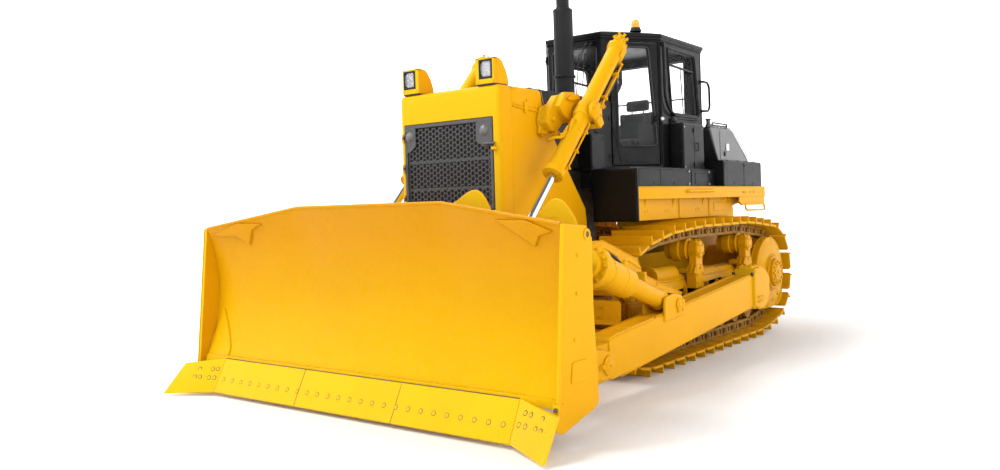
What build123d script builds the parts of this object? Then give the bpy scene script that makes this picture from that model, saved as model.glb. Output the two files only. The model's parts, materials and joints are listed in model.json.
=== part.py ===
from build123d import *
import math
import os

os.makedirs("parts", exist_ok=True)

# Crawler bulldozer with a straight tilt blade. Millimetres, +X forwards (blade), +Y the
# machine's left, +Z up, ground at Z = 0. Lengthwise places are first given from the middle
# of the track's ground contact, and every node is then shifted so that the origin is the
# bottom centre of the whole machine's box.

# ---------------------------------------------------------------- overall sizes
blade_tip_x = 4208.0            # foremost point, the end bits' tips
drawbar_end_x = -2672.0         # rearmost point, the drawbar's end
shift_x = -(blade_tip_x + drawbar_end_x) / 2.0
blade_half_width = 2065.0       # over the end bits

# ---------------------------------------------------------------- undercarriage
track_centre_y = 1070.0
shoe_width = 560.0
shoe_count = 41
grouser_height = 142.0          # grouser tip above the pin line
plate_top = 82.0                # shoe plate's outer face above the pin line
plate_under = 54.0              # shoe plate's inner face above the pin line
rail_inner = -58.0              # link rail's running face
rail_outer = 60.0
sprocket_x, sprocket_z, sprocket_r = -1630.0, 700.0, 489.0
idler_x, idler_z, idler_r = 1520.0, 600.0, 458.0
contact_grouser_x = 1279.0      # a grouser that stands on the ground

# pin line of the chain, counter-clockwise seen with X to the right: x, z, pin line radius
chain_guides = [
    (-1250.0, 305.0, 163.0),            # rearmost track roller
    (idler_x, idler_z, idler_r),        # front idler
    (1397.0, 972.0, 163.0),             # chain's bow behind the idler
    (987.0, 1053.0, 163.0),
    (340.0, 1095.0, 163.0),             # front carrier roller
    (-936.0, 1095.0, 163.0),            # rear carrier roller
    (sprocket_x, sprocket_z, sprocket_r),
]
track_roller_x = [1050.0 - 370.0 * i for i in range(7)]
carrier_roller_x = [340.0, -936.0]

# ---------------------------------------------------------------- working equipment
trunnion_x, trunnion_z = -565.0, 645.0          # push arm's ball on the track frame
arm_y0, arm_y1 = 1400.0, 1620.0                 # push arm's inner and outer face
arm_mid_y = 1510.0
arm_pin_x, arm_pin_z = 2790.0, 355.0            # push arm's pin at the blade
arm_height = 330.0
lift_y = 860.0
yoke_x, yoke_z = 1742.0, 2427.0                 # lift cylinder's trunnion
lift_eye_x, lift_eye_z = 3300.0, 740.0          # lift rod's eye at the blade
lift_barrel_r, lift_bore_r, lift_rod_r = 75.0, 62.0, 36.0
barrel_below, barrel_above = 796.0, 900.0       # barrel's ends from its trunnion
tilt_y = 1530.0
tilt_pin_x, tilt_pin_z = 1520.0, 680.0          # tilt cylinder's pin on the arm
tilt_eye_x, tilt_eye_z = 3300.0, 1290.0         # tilt rod's eye at the blade

# ---------------------------------------------------------------- body
guard_front_x, guard_half_y, guard_top_z = 2650.0, 590.0, 2635.0
hood_half_y, hood_top_z = 450.0, 2670.0
hood_x0, hood_x1 = 575.0, 2040.0
cab_floor_z, cab_roof_z = 1930.0, 3345.0
wall = 50.0
# cab's outside corners on the left, front to back: x, y
cab_corners = [(565.0, 342.0), (0.0, 745.0), (-1060.0, 728.0)]
deck_top_z, deck_lip_z = 1735.0, 1615.0
tank_half_y = 900.0


# ================================================================= helpers
def box(x0, x1, y0, y1, z0, z1):
    return Solid.make_box(x1 - x0, y1 - y0, z1 - z0).moved(Location((x0, y0, z0)))


def prism(points, along):
    """Closed polygon of 3-D points, pushed along a vector."""
    return Solid.extrude(Face(Wire.make_polygon([Vector(*p) for p in points])), Vector(*along))


def slab_y(xz, y0, y1):
    """Outline in the X-Z plane, as thick as y0 to y1."""
    return prism([(x, y0, z) for x, z in xz], (0, y1 - y0, 0))


def slab_x(yz, x0, x1):
    return prism([(x0, y, z) for y, z in yz], (x1 - x0, 0, 0))


def slab_z(xy, z0, z1):
    return prism([(x, y, z0) for x, y in xy], (0, 0, z1 - z0))


def rod(p, q, r):
    """Round bar from p to q."""
    p, q = Vector(*p), Vector(*q)
    return Solid.make_cylinder(r, (q - p).length, Plane(origin=p, z_dir=(q - p).normalized()))


def pin_y(x, z, r, y0, y1):
    return rod((x, y0, z), (x, y1, z), r)


def ball(x, y, z, r):
    return Solid.make_sphere(r, angle1=-90, angle2=90, angle3=360).moved(Location((x, y, z)))


def flip(shape):
    return shape.mirror(Plane.XZ)


def solids_of(shape):
    return list(shape.solids())


def join(*shapes):
    out = shapes[0]
    for s in shapes[1:]:
        out = out + s
    return out


written = {}


def node(name, *shapes):
    found = [s for shape in shapes for s in solids_of(shape)]
    whole = Compound(children=found).moved(Location((shift_x, 0, 0)))
    export_step(whole, "parts/" + name + ".step")
    written[name] = whole


def two(name, shape):
    node(name, shape, flip(shape))


# ================================================================= chain loop
def guide_tangents(rise):
    """Straight runs round the guides, each as its outward unit normal and two end points."""
    runs = []
    count = len(chain_guides)
    for i in range(count):
        x1, z1, r1 = chain_guides[i]
        x2, z2, r2 = chain_guides[(i + 1) % count]
        r1, r2 = r1 + rise, r2 + rise
        gap = math.hypot(x2 - x1, z2 - z1)
        ex, ez = (x2 - x1) / gap, (z2 - z1) / gap
        a = (r1 - r2) / gap
        b = math.sqrt(1.0 - a * a)
        nx, nz = a * ex + b * ez, a * ez - b * ex
        runs.append(((nx, nz), (x1 + r1 * nx, z1 + r1 * nz), (x2 + r2 * nx, z2 + r2 * nz)))
    return runs


def loop_wire(rise, y):
    """The chain's line, offset outwards by rise, as straight runs and arcs."""
    runs = guide_tangents(rise)
    edges = []
    for i, (normal, start, end) in enumerate(runs):
        edges.append(Edge.make_line((start[0], y, start[1]), (end[0], y, end[1])))
        gx, gz, gr = chain_guides[(i + 1) % len(runs)]
        after = runs[(i + 1) % len(runs)]
        mx, mz = normal[0] + after[0][0], normal[1] + after[0][1]
        size = math.hypot(mx, mz)
        turn = normal[0] * after[0][1] - normal[1] * after[0][0]
        dot = normal[0] * after[0][0] + normal[1] * after[0][1]
        if dot < -0.2 and turn < 0:
            mx, mz = -mx, -mz
        mid = (gx + (gr + rise) * mx / size, y, gz + (gr + rise) * mz / size)
        nxt = after[1]
        edges.append(Edge.make_three_point_arc((end[0], y, end[1]), mid, (nxt[0], y, nxt[1])))
    return Wire(edges)


def chain_line():
    """Pin line as short steps: list of (distance, x, z)."""
    runs = guide_tangents(0.0)
    dots = []
    for i, (normal, start, end) in enumerate(runs):
        for k in range(40):
            t = k / 40.0
            dots.append((start[0] + t * (end[0] - start[0]), start[1] + t * (end[1] - start[1])))
        gx, gz, gr = chain_guides[(i + 1) % len(runs)]
        after = runs[(i + 1) % len(runs)]
        a0 = math.atan2(normal[1], normal[0])
        a1 = math.atan2(after[0][1], after[0][0])
        while a1 < a0:
            a1 += 2 * math.pi
        for k in range(60):
            a = a0 + (a1 - a0) * k / 60.0
            dots.append((gx + gr * math.cos(a), gz + gr * math.sin(a)))
    dots.append(dots[0])
    far, out = 0.0, [(0.0,) + dots[0]]
    for (xa, za), (xb, zb) in zip(dots, dots[1:]):
        far += math.hypot(xb - xa, zb - za)
        out.append((far, xb, zb))
    return out


chain = chain_line()
chain_length = chain[-1][0]
pitch = chain_length / shoe_count
print("chain length", round(chain_length, 1), "pitch", round(pitch, 2))


def on_chain(distance):
    distance %= chain_length
    for (s0, x0, z0), (s1, x1, z1) in zip(chain, chain[1:]):
        if s0 <= distance <= s1 and s1 > s0:
            t = (distance - s0) / (s1 - s0)
            return x0 + t * (x1 - x0), z0 + t * (z1 - z0)
    return chain[0][1], chain[0][2]


# shoe outline across one pitch: share of the pitch, height above the pin line
grouser_at = -0.39
shoe_outline = [
    (-0.47, plate_top),
    (grouser_at - 0.065, plate_top),
    (grouser_at - 0.035, grouser_height),
    (grouser_at + 0.035, grouser_height),
    (grouser_at + 0.065, plate_top),
    (0.47, plate_top),
]
bottom_start_x = chain[0][1]
first_pin = (contact_grouser_x - grouser_at * pitch - 0.5 * pitch) - bottom_start_x


def track(side):
    outer, inner = [], []
    for i in range(shoe_count):
        x0, z0 = on_chain(first_pin + i * pitch)
        x1, z1 = on_chain(first_pin + (i + 1) * pitch)
        size = math.hypot(x1 - x0, z1 - z0)
        ex, ez = (x1 - x0) / size, (z1 - z0) / size
        nx, nz = ez, -ex
        mx, mz = (x0 + x1) / 2, (z0 + z1) / 2
        for share, rise in shoe_outline:
            u = share * pitch
            outer.append((mx + u * ex + rise * nx, mz + u * ez + rise * nz))
        for share in (-0.47, 0.47):
            u = share * pitch
            inner.append((mx + u * ex + plate_under * nx, mz + u * ez + plate_under * nz))
    y0 = track_centre_y - shoe_width / 2
    y1 = track_centre_y + shoe_width / 2
    shoes = slab_y(outer, y0, y1) - slab_y(inner, y0 - 5, y1 + 5)
    out = shoes
    # two link rails: inner face and outer face from the track's middle
    for near, far in ((60.0, 110.0), (-110.0, -60.0)):
        ya, yb = track_centre_y + near, track_centre_y + far
        rail = Solid.extrude(Face(loop_wire(rail_outer, ya)), Vector(0, yb - ya, 0))
        rail = rail - Solid.extrude(Face(loop_wire(rail_inner, ya - 5)), Vector(0, yb - ya + 10, 0))
        out = out + rail
    return out if side > 0 else flip(out)


node("track_left", track(1))
node("track_right", track(-1))

# sprocket: toothed ring, teeth at half the pitch
tooth_count = 27
ring = []
for k in range(tooth_count):
    # angle share of a tooth's step, radius
    for share, r in ((0.0, 452.0), (0.30, 452.0), (0.52, 522.0), (0.78, 522.0)):
        a = 2 * math.pi * (k + share) / tooth_count
        ring.append((sprocket_x + r * math.cos(a), sprocket_z + r * math.sin(a)))
sprocket = slab_y(ring, track_centre_y - 38, track_centre_y + 38)
sprocket = sprocket - pin_y(sprocket_x, sprocket_z, 300, 1000, 1140)
two("sprockets", sprocket)

# final drive, stacked discs along Y: y from, y to, radius
drive_steps = [
    (560.0, 1031.0, 330.0),
    (1031.0, 1109.0, 299.0),
    (1109.0, 1190.0, 405.0),
    (1190.0, 1290.0, 425.0),
    (1290.0, 1325.0, 215.0),
    (1325.0, 1385.0, 165.0),
]
# the cover's square lower part
drive_skirt = [(-2055, 760), (-2055, 410), (-2025, 350), (-1930, 288), (-1450, 275), (-1290, 335), (-1215, 500), (-1215, 760)]
drive = None
for ya, yb, r in drive_steps:
    piece = pin_y(sprocket_x, sprocket_z, r, ya, yb)
    drive = piece if drive is None else drive + piece
drive = drive + slab_y(drive_skirt, 1195, 1285) + pin_y(sprocket_x, sprocket_z, 60, 1380, 1398)
drive = drive + Solid.make_cone(425, 330, 22, Plane(origin=(sprocket_x, 1289.5, sprocket_z), z_dir=(0, 1, 0)))
two("final_drives", drive)

idler = join(
    pin_y(idler_x, idler_z, 384, 965, 1175),
    pin_y(idler_x, idler_z, 425, 1022, 1118),
    pin_y(idler_x, idler_z, 105, 946, 1194),
)
for ya, yb in ((960, 1015), (1125, 1180)):
    groove = pin_y(idler_x, idler_z, 330, ya, yb) - pin_y(idler_x, idler_z, 130, ya - 5, yb + 5)
    idler = idler - groove
two("idlers", idler)

rollers = []
for x in track_roller_x:
    rollers.append(join(pin_y(x, 302, 100, 956, 1014), pin_y(x, 302, 100, 1126, 1184), pin_y(x, 302, 116, 1014, 1026),
                        pin_y(x, 302, 116, 1114, 1126), pin_y(x, 302, 62, 1026, 1114)))
node("track_rollers", *rollers, *[flip(r) for r in rollers])

carriers = []
for x in carrier_roller_x:
    carriers.append(join(
        pin_y(x, 1092, 104, 958, 1186),
        pin_y(x, 1092, 124, 1024, 1116),
        pin_y(x, 1092, 116, 1184, 1194),
        pin_y(x, 1092, 45, 1186, 1212),
        pin_y(x, 1092, 88, 1210, 1312),
        box(x - 72, x + 72, 1216, 1302, 880, 1095),
        slab_y([(x - 92, 700), (x + 92, 700), (x + 92, 860), (x + 72, 935), (x - 72, 935), (x - 92, 905)], 1194, 1306),
        box(x - 92, x + 92, 1100, 1200, 853, 900),
    ))
node("carrier_rollers", *carriers, *[flip(c) for c in carriers])

frame_section = [(950, 440), (1190, 440), (1190, 740), (1130, 850), (950, 850)]
track_frame = slab_x(frame_section, -1075, 1085)
# guard plates, idler fork and trunnion bracket: x0, x1, y0, y1, z0, z1
for b in [
    (-1175, 1180, 1189, 1204, 318, 500),
    (-1175, 1180, 936, 951, 318, 500),
    (980, 1660, 905, 943, 520, 680),
    (980, 1660, 1197, 1235, 520, 680),
    (980, 1080, 905, 1235, 520, 680),
    (-690, -440, 1185, 1235, 470, 735),
]:
    track_frame = track_frame + box(*b)
track_frame = track_frame + pin_y(trunnion_x, trunnion_z, 88, 1230, 1390)
two("track_frames", track_frame)

# ================================================================= main frame, rear case
main_frame = join(
    box(-1160, 2330, 330, 430, 640, 1010),
    box(-1160, 2330, -430, -330, 640, 1010),
    box(-1160, 2330, -430, 430, 610, 645),
    box(2300, 2360, -540, 540, 610, 1160),
    box(-900, -760, -430, 430, 640, 900),
    box(560, 760, -935, 935, 470, 612),
    pin_y(trunnion_x, trunnion_z, 60, -905, 905),
)
node("main_frame", main_frame)

rear_case = slab_y([(-1165, 520), (-1165, 1700), (-2140, 1700), (-2330, 1480), (-2330, 620), (-2200, 520)], -555, 555)
node("rear_case", rear_case)

# drawbar: two plates with a vertical pin bore, on a bracket at the case's back
draw_pin_x, draw_pin_r = -2580.0, 32.0
draw_low, draw_high = 520.0, 700.0
drawbar = join(
    box(-2400, -2331, -260, 260, 480, 860),
    slab_z([(-2398, -190), (-2398, 190), (-2600, 95), (drawbar_end_x, 70), (drawbar_end_x, -70), (-2600, -95)], draw_low, draw_low + 45),
    slab_z([(-2398, -190), (-2398, 190), (-2600, 95), (drawbar_end_x, 70), (drawbar_end_x, -70), (-2600, -95)], draw_high - 45, draw_high),
)
drawbar = drawbar - rod((draw_pin_x, 0, 400), (draw_pin_x, 0, 900), draw_pin_r)
node("drawbar", drawbar)

node("engine_block", box(760, 1880, -330, 330, 1200, 2330))

# ================================================================= nose
guard_side = [(2650, 1165), (2650, 2635), (2047, 2635), (2030, 2515), (1930, 2300), (1637, 1912), (1349, 1545), (1329, 1411), (1329, 1165)]
guard_round = 45.0
nose = slab_y(guard_side, -guard_half_y, guard_half_y)
rounded = []
for e in nose.edges():
    m = e.center()
    upright = abs(m.X - guard_front_x) < 1 and abs(abs(m.Y) - guard_half_y) < 1
    over = abs(m.Z - guard_top_z) < 1 and (abs(abs(m.Y) - guard_half_y) < 1 or abs(m.X - guard_front_x) < 1)
    if upright or over:
        rounded.append(e)
nose = nose.fillet(guard_round, rounded)
nose = nose - box(1000, 2610, -560, 560, 1195, 2605) - box(2500, 2700, -534, 514, 1560, 2360)
node("radiator_guard", nose)
node("radiator_core", join(box(2380, 2500, -500, 500, 1240, 2520), box(2360, 2380, -540, 540, 1200, 2590)))

# grille door in the guard's front, hinged at its right edge: frame and bars
grille_y0, grille_y1, grille_z0, grille_z1 = -528.0, 508.0, 1566.0, 2354.0
grille_hinge_x, grille_hinge_y = 2668.0, -534.0
door_x0, door_x1 = 2622.0, 2656.0
grille = box(door_x0, door_x1, grille_y0, grille_y1, grille_z0, grille_z1)
grille = grille - box(door_x0 - 5, door_x1 + 5, -470, 450, 1625, 2295)
for k in range(9):
    y = -410 + 100 * k
    grille = grille + box(2634, 2642, y - 8, y + 8, 1620, 2300)
for k in range(3):
    z = 1800 + 165 * k
    grille = grille + box(2630, 2646, -475, 455, z - 9, z + 9)
for z in (1680, 1960, 2240):
    grille = grille + box(2655.3, 2662, grille_hinge_y, -495, z - 38, z + 38) + rod((grille_hinge_x, grille_hinge_y, z - 42), (grille_hinge_x, grille_hinge_y, z + 42), 10)
node("grille_door", grille)

# lamp housings on the guard's top: outline in X-Z, one each side
lamp = slab_y([(2650, 2636), (2650, 2868), (2565, 2866), (2510, 2850), (2470, 2812), (2448, 2750), (2442, 2636)], 338, 540)
lamp = lamp - box(2560, 2660, 354, 524, 2662, 2848)
two("work_lamps", lamp)

hood = join(
    box(hood_x0, hood_x1, -hood_half_y, hood_half_y, hood_top_z - 25, hood_top_z),
    box(hood_x0, hood_x1, hood_half_y - 25, hood_half_y, 1930, hood_top_z),
    box(hood_x0, hood_x1, -hood_half_y, -hood_half_y + 25, 1930, hood_top_z),
)
hood = hood - rod((910, 100, 2600), (910, 100, 2700), 70)
node("hood", hood)

pipe_x, pipe_y = 910.0, 100.0
pipe = join(
    rod((pipe_x, pipe_y, 2560), (pipe_x, pipe_y, 2950), 64),
    rod((pipe_x, pipe_y, 2672), (pipe_x, pipe_y, 2690), 120),
    rod((pipe_x, pipe_y, 2910), (pipe_x, pipe_y, 2932), 114),
    rod((pipe_x, pipe_y, 2688), (pipe_x, pipe_y, 3620), 102),
    rod((pipe_x, pipe_y, 3610), (pipe_x, pipe_y, 3760), 68),
)
pipe = pipe - rod((pipe_x, pipe_y, 3400), (pipe_x, pipe_y, 3800), 60)
pipe = pipe + box(pipe_x - 104, pipe_x - 64, pipe_y - 14, pipe_y + 14, 3726, 3764)
node("exhaust_pipe", pipe)
flap = rod((pipe_x, pipe_y, 3766), (pipe_x, pipe_y, 3774), 76) + box(pipe_x - 100, pipe_x - 60, pipe_y - 24, pipe_y + 24, 3766, 3776)
flap = flap + rod((pipe_x - 100, pipe_y - 24, 3778), (pipe_x - 100, pipe_y + 24, 3778), 12)
node("exhaust_flap", flap)

# ================================================================= cab
def hexagon(inset):
    """Cab plan, moved inwards by inset: front left round to front right."""
    (fx, fy), (sx, sy), (rx, ry) = cab_corners
    left = [(fx, fy), (sx, sy), (rx, ry)]
    plan = left + [(x, -y) for x, y in reversed(left)]
    out = []
    n = len(plan)
    for i in range(n):
        (ax, ay), (bx, by), (cx, cy) = plan[i - 1], plan[i], plan[(i + 1) % n]
        e1 = ((bx - ax), (by - ay))
        e2 = ((cx - bx), (cy - by))
        l1, l2 = math.hypot(*e1), math.hypot(*e2)
        n1 = (-e1[1] / l1, e1[0] / l1)
        n2 = (-e2[1] / l2, e2[0] / l2)
        # plan runs counter-clockwise, so these normals point inwards
        k = inset / (1 + n1[0] * n2[0] + n1[1] * n2[1])
        out.append((bx + k * (n1[0] + n2[0]), by + k * (n1[1] + n2[1])))
    return out


(door_fx, door_fy), (door_rx, door_ry), _ = cab_corners
face_len = math.hypot(door_rx - door_fx, door_ry - door_fy)
face_e = ((door_rx - door_fx) / face_len, (door_ry - door_fy) / face_len)
face_n = (face_e[1] * -1, face_e[0])
if face_n[1] < 0:
    face_n = (-face_n[0], -face_n[1])


def on_face(t0, t1, n0, n1, z0, z1):
    """Box on the cab's slanted left face: along it, out of it, up."""
    corners = []
    for t, n in ((t0, n0), (t1, n0), (t1, n1), (t0, n1)):
        corners.append((door_fx + t * face_e[0] + n * face_n[0], door_fy + t * face_e[1] + n * face_n[1]))
    return slab_z(corners, z0, z1)


door_t0, door_t1 = 100.0, 662.0
door_z0, door_z1 = 1990.0, 3310.0
cab = slab_z(hexagon(0.0), cab_floor_z, cab_roof_z) - slab_z(hexagon(wall), cab_floor_z + 50, cab_roof_z + 10)
opening = on_face(door_t0 - 6, door_t1 + 6, -120, 60, door_z0 - 6, door_z1 + 6)
cab = cab - opening - flip(opening)
cab = cab - box(400, 700, -285, 285, 2240, 3265)                       # windscreen
side_window = [(-186, 3292), (-840, 3288), (-930, 2556), (-242, 2556)]
cab = cab - slab_y(side_window, 600, 800) - slab_y(side_window, -800, -600)
cab = cab - box(-1200, -900, -520, 520, 2560, 3260)                    # rear window
node("cab_frame", cab)

roof = slab_z(hexagon(-14.0), cab_roof_z + 1, cab_roof_z + 24) + slab_z(hexagon(-26.0), cab_roof_z + 24, cab_roof_z + 62)
roof = roof + Solid.make_loft([
    Wire.make_polygon([Vector(x, y, cab_roof_z + 62) for x, y in hexagon(-26.0)]),
    Wire.make_polygon([Vector(x, y, cab_roof_z + 118) for x, y in hexagon(190.0)]),
], ruled=True)
node("cab_roof", roof)

# panes, 6 thick, set inside their openings
side_pane = [(-190, 3287), (-835, 3283), (-925, 2560), (-246, 2560)]
glass = [
    box(540, 546, -281, 281, 2244, 3261),
    box(-1050, -1044, -516, 516, 2564, 3256),
    slab_y(side_pane, 706, 712),
    slab_y(side_pane, -712, -706),
]
node("cab_glass", *glass)

# doors on the slanted faces, with a large window
pane_t0, pane_t1, pane_z0, pane_z1 = 165.0, 605.0, 2225.0, 3245.0
door = on_face(door_t0, door_t1, -46, 0, door_z0, door_z1) - on_face(pane_t0, pane_t1, -60, 60, pane_z0, pane_z1)
# hinges: a leaf on the door and a round knuckle just outside the cab's face
hinge_t, hinge_n = door_t0 - 3.0, 17.0
hinge_x = door_fx + hinge_t * face_e[0] + hinge_n * face_n[0]
hinge_y = door_fy + hinge_t * face_e[1] + hinge_n * face_n[1]
for z in (2150, 2700, 3200):
    door = door + on_face(door_t0, door_t0 + 44, -0.5, 10, z - 40, z + 40) + on_face(hinge_t, door_t0 + 8, 8, 20, z - 40, z + 40)
    door = door + rod((hinge_x, hinge_y, z - 45), (hinge_x, hinge_y, z + 45), 12)
pane = on_face(pane_t0 + 2, pane_t1 - 2, -28, -22, pane_z0 + 2, pane_z1 - 2)
node("door_left", door)
node("door_right", flip(door))
node("door_glass_left", pane)
node("door_glass_right", flip(pane))

seat = join(
    slab_y([(-760, 2200), (-260, 2220), (-240, 2270), (-250, 2325), (-720, 2320)], -260, 260),
    slab_y([(-850, 2310), (-700, 2310), (-748, 2690), (-862, 2690)], -250, 250),
    slab_y([(-860, 2685), (-765, 2685), (-775, 2832), (-862, 2832)], -160, 160),
)
node("operator_seat", seat)
console = [
    join(box(-700, -320, -200, 200, 1981, 2100), box(-720, -280, -230, 230, 2100, 2195)),
    join(box(-700, -200, 330, 560, 1981, 2480), box(-290, -210, 400, 480, 2440, 2595)),
    join(box(-700, -200, -560, -330, 1981, 2480), box(-290, -210, -480, -400, 2440, 2595)),
    slab_y([(500, 1981), (500, 2650), (380, 2650), (300, 2560), (400, 2000), (400, 1981)], -270, 270),
]
node("control_console", *console)

# ================================================================= platform, decks, boxes, tank
platform = join(
    box(-1150, 560, -600, 600, 1705, 1926),
    box(-760, 1200, 590, 1000, 1740, 1928),
    box(-760, 1200, -1000, -590, 1740, 1928),
    box(565, 1220, 455, 600, 1740, 1915),
    box(565, 1220, -600, -455, 1740, 1915),
    box(1192, 1222, 594, 1100, 1405, 1915),
    box(1192, 1222, -1100, -594, 1405, 1915),
    box(980, 1222, 455, 600, 1900, 2280),
    box(980, 1222, -600, -455, 1900, 2280),
)
platform = platform + box(-672, -150, 750, 918, 1905, 2445) + box(-672, -150, -918, -750, 1905, 2445)
node("platform", platform)

# deck over each track: plan outline x, y
deck_plan = [(1188, 602), (1188, 1040), (200, 1130), (-1967, 1130), (-1967, 602)]
deck = slab_z(deck_plan, deck_top_z - 22, deck_top_z)
deck = deck + slab_z([(1188, 1018), (1188, 1040), (200, 1130), (-1967, 1130), (-1967, 1108), (200, 1108)], deck_lip_z, deck_top_z)
wall_low = [(-1463, 1541), (-1330, 1532), (-1230, 1507), (-1160, 1465), (-1110, 1405)]
deck = deck + slab_y([(1180, 1405), (1180, 1720), (-1940, 1720), (-1940, 1536)] + wall_low, 985, 1005)
deck = deck + slab_y([(-1162, deck_lip_z + 5), (-1162, 1560), (-1200, 1542), (-1951, 1530), (-1951, deck_lip_z + 5)], 1104, 1124)
deck = deck + box(1160, 1188, 602, 1040, 1405, 1720)
two("fenders", deck)

node("rear_boxes", *[b for b in (
    box(-1927, -782, 760, 1100, 1736, 2034),
    box(-1927, -782, -1100, -760, 1736, 2034),
)])

tank_side = [(-880, 2430), (-905, 2448), (-1500, 2450), (-1560, 2430), (-1990, 2118), (-2038, 2060), (-2038, 2040), (-1100, 2040)]
tank = slab_y(tank_side, -tank_half_y, tank_half_y) - box(-1068, -800, -760, 760, 1900, 2600)
tank = tank - box(-1160, -1060, -610, 610, 1900, 2060)
node("fuel_tank", tank)

# grab handles: bars through points, with a ball at each bend
handle_lines = [
    (14, [(-1035, 731, 2994), (-1035, 762, 2994), (-1160, 768, 2985), (-1192, 768, 2930), (-1192, 768, 2705), (-1160, 768, 2655), (-1035, 762, 2646), (-1035, 731, 2646)]),
    (17, [(-30, 748, 3316), (-30, 772, 3316), (-42, 772, 2718), (-235, 776, 2545), (-235, 742, 2545)]),
    (14, [(-1000, 860, 2451), (-1000, 860, 2500), (-1420, 860, 2500), (-1420, 860, 2451)]),
]
rails = []
for r, points in handle_lines:
    bar = None
    for a, b in zip(points, points[1:]):
        piece = rod(a, b, r)
        bar = piece if bar is None else bar + piece
    for p in points[1:-1]:
        bar = bar + ball(*p, r)
    rails.append(bar)
node("handrails", *rails, *[flip(r) for r in rails])
node("beacon", join(rod((71, 492, 3464), (71, 492, 3500), 55), rod((71, 492, 3500), (71, 492, 3595), 48)))

# ================================================================= lift cylinders
lift_len = math.hypot(lift_eye_x - yoke_x, lift_eye_z - yoke_z)
lu = ((lift_eye_x - yoke_x) / lift_len, (lift_eye_z - yoke_z) / lift_len)


def on_lift(s, y=lift_y):
    """Point on the lift cylinder's axis, s from its trunnion towards the blade."""
    return (yoke_x + s * lu[0], y, yoke_z + s * lu[1])


barrel = rod(on_lift(-barrel_above), on_lift(barrel_below), lift_barrel_r)
barrel = barrel + rod(on_lift(barrel_below - 70), on_lift(barrel_below), 92)
barrel = barrel + rod(on_lift(-50), on_lift(50), 84) + rod(on_lift(-barrel_above), on_lift(-barrel_above + 45), 84)
barrel = barrel + pin_y(yoke_x, yoke_z, 40, lift_y - 130, lift_y + 130)
barrel = barrel - rod(on_lift(-barrel_above + 40), on_lift(barrel_below - 65), lift_bore_r)
barrel = barrel - rod(on_lift(barrel_below - 100), on_lift(barrel_below + 10), lift_rod_r + 0.06)
node("lift_barrel_left", barrel)
node("lift_barrel_right", flip(barrel))
rod_back = lift_len - 2050.0
lift_rod = rod(on_lift(rod_back), on_lift(lift_len - 40), lift_rod_r)
lift_rod = lift_rod + rod(on_lift(rod_back - 30), on_lift(rod_back + 30), lift_bore_r - 0.06)
lift_rod = lift_rod + pin_y(lift_eye_x, lift_eye_z, 72, lift_y - 45, lift_y + 45)
lift_rod = lift_rod - pin_y(lift_eye_x, lift_eye_z, 38, lift_y - 60, lift_y + 60)
node("lift_rod_left", lift_rod)
node("lift_rod_right", flip(lift_rod))

# yoke: fork round the barrel's trunnion, on a plate bolted to the guard's side
ba = math.radians(233.0)
bd, bp = (math.cos(ba), math.sin(ba)), (-math.sin(ba), math.cos(ba))


def on_yoke(d, p):
    return (yoke_x + d * bd[0] + p * bp[0], yoke_z + d * bd[1] + p * bp[1])


arm_shape = [on_yoke(0, -60), on_yoke(165, -42), on_yoke(165, 42), on_yoke(0, 60)]
yoke_plate = [(1985, 2225), (2070, 2200), (2125, 2235), (2110, 2290), (2135, 2350), (2110, 2415), (2090, 2470), (2025, 2495), (1985, 2440)]
yoke_arm = [(2040, 2250), (2115, 2330), (2085, 2430), (2010, 2510), (1930, 2585), (1700, 2600), (1650, 2560), (1660, 2440), (1700, 2350), (1850, 2330), (1960, 2240)]
yoke_block = [(1690, 2345), (1640, 2440), (1628, 2530), (1668, 2612), (1905, 2592), (1990, 2482), (1938, 2405), (1830, 2350)]
yoke = join(
    slab_y(yoke_plate, 590.5, 628),
    slab_y(yoke_arm, 624, 700),
    slab_y(yoke_block, 696, 764),
    pin_y(yoke_x, yoke_z, 84, 640, 764),
    slab_y(arm_shape, 725, 764),
    slab_y([on_yoke(112, -42), on_yoke(165, -42), on_yoke(165, 42), on_yoke(112, 42)], 725, 995),
    slab_y(arm_shape, 956, 995),
    pin_y(yoke_x, yoke_z, 84, 956, 995),
)
yoke = yoke - pin_y(yoke_x, yoke_z, 40.06, 715, 1000)
two("lift_yokes", yoke)

# ================================================================= push arms
adx, adz = arm_pin_x - trunnion_x, arm_pin_z - trunnion_z
alen = math.hypot(adx, adz)
ax_, az_ = adx / alen, adz / alen


def on_arm(s, h):
    """Point on the push arm: s along it from the trunnion, h above its middle line."""
    return (trunnion_x + s * ax_ - h * az_, trunnion_z + s * az_ + h * ax_)


half = arm_height / 2
# outline: distance from the trunnion, height
arm_outline = [(200, -half), (2900, -half), (3235, -half * 0.95), (3235, half * 0.9), (3120, half), (200, half)]
arm = slab_y([on_arm(s, h) for s, h in arm_outline], arm_y0, arm_y1)
arm = arm + slab_y([on_arm(3200, -148), on_arm(alen, -148), on_arm(alen, 140), on_arm(3200, 140)], 1412, 1608)
arm = arm + pin_y(arm_pin_x, arm_pin_z, 148, 1412, 1608)
# rear cap over the ball, a little wider than the arm
arm_cap = [(-262, 452), (-262, 800), (-300, 846), (-441, 862), (-560, 838), (-640, 790), (-690, 735), (-690, 560), (-640, 470), (-560, 420), (-440, 405)]
arm = arm + slab_y(arm_cap, arm_y0 + 4, arm_y1 + 14)
arm = arm - pin_y(trunnion_x, trunnion_z, 92, arm_y0 - 10, 1560)
# flat plate on the arm's top near the front
arm = arm + slab_y([on_arm(2480, half - 4), on_arm(3230, half - 22), on_arm(3230, half + 4), on_arm(3120, half + 18), on_arm(2480, half + 18)], arm_y0 + 60, arm_y1 - 4)
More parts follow.
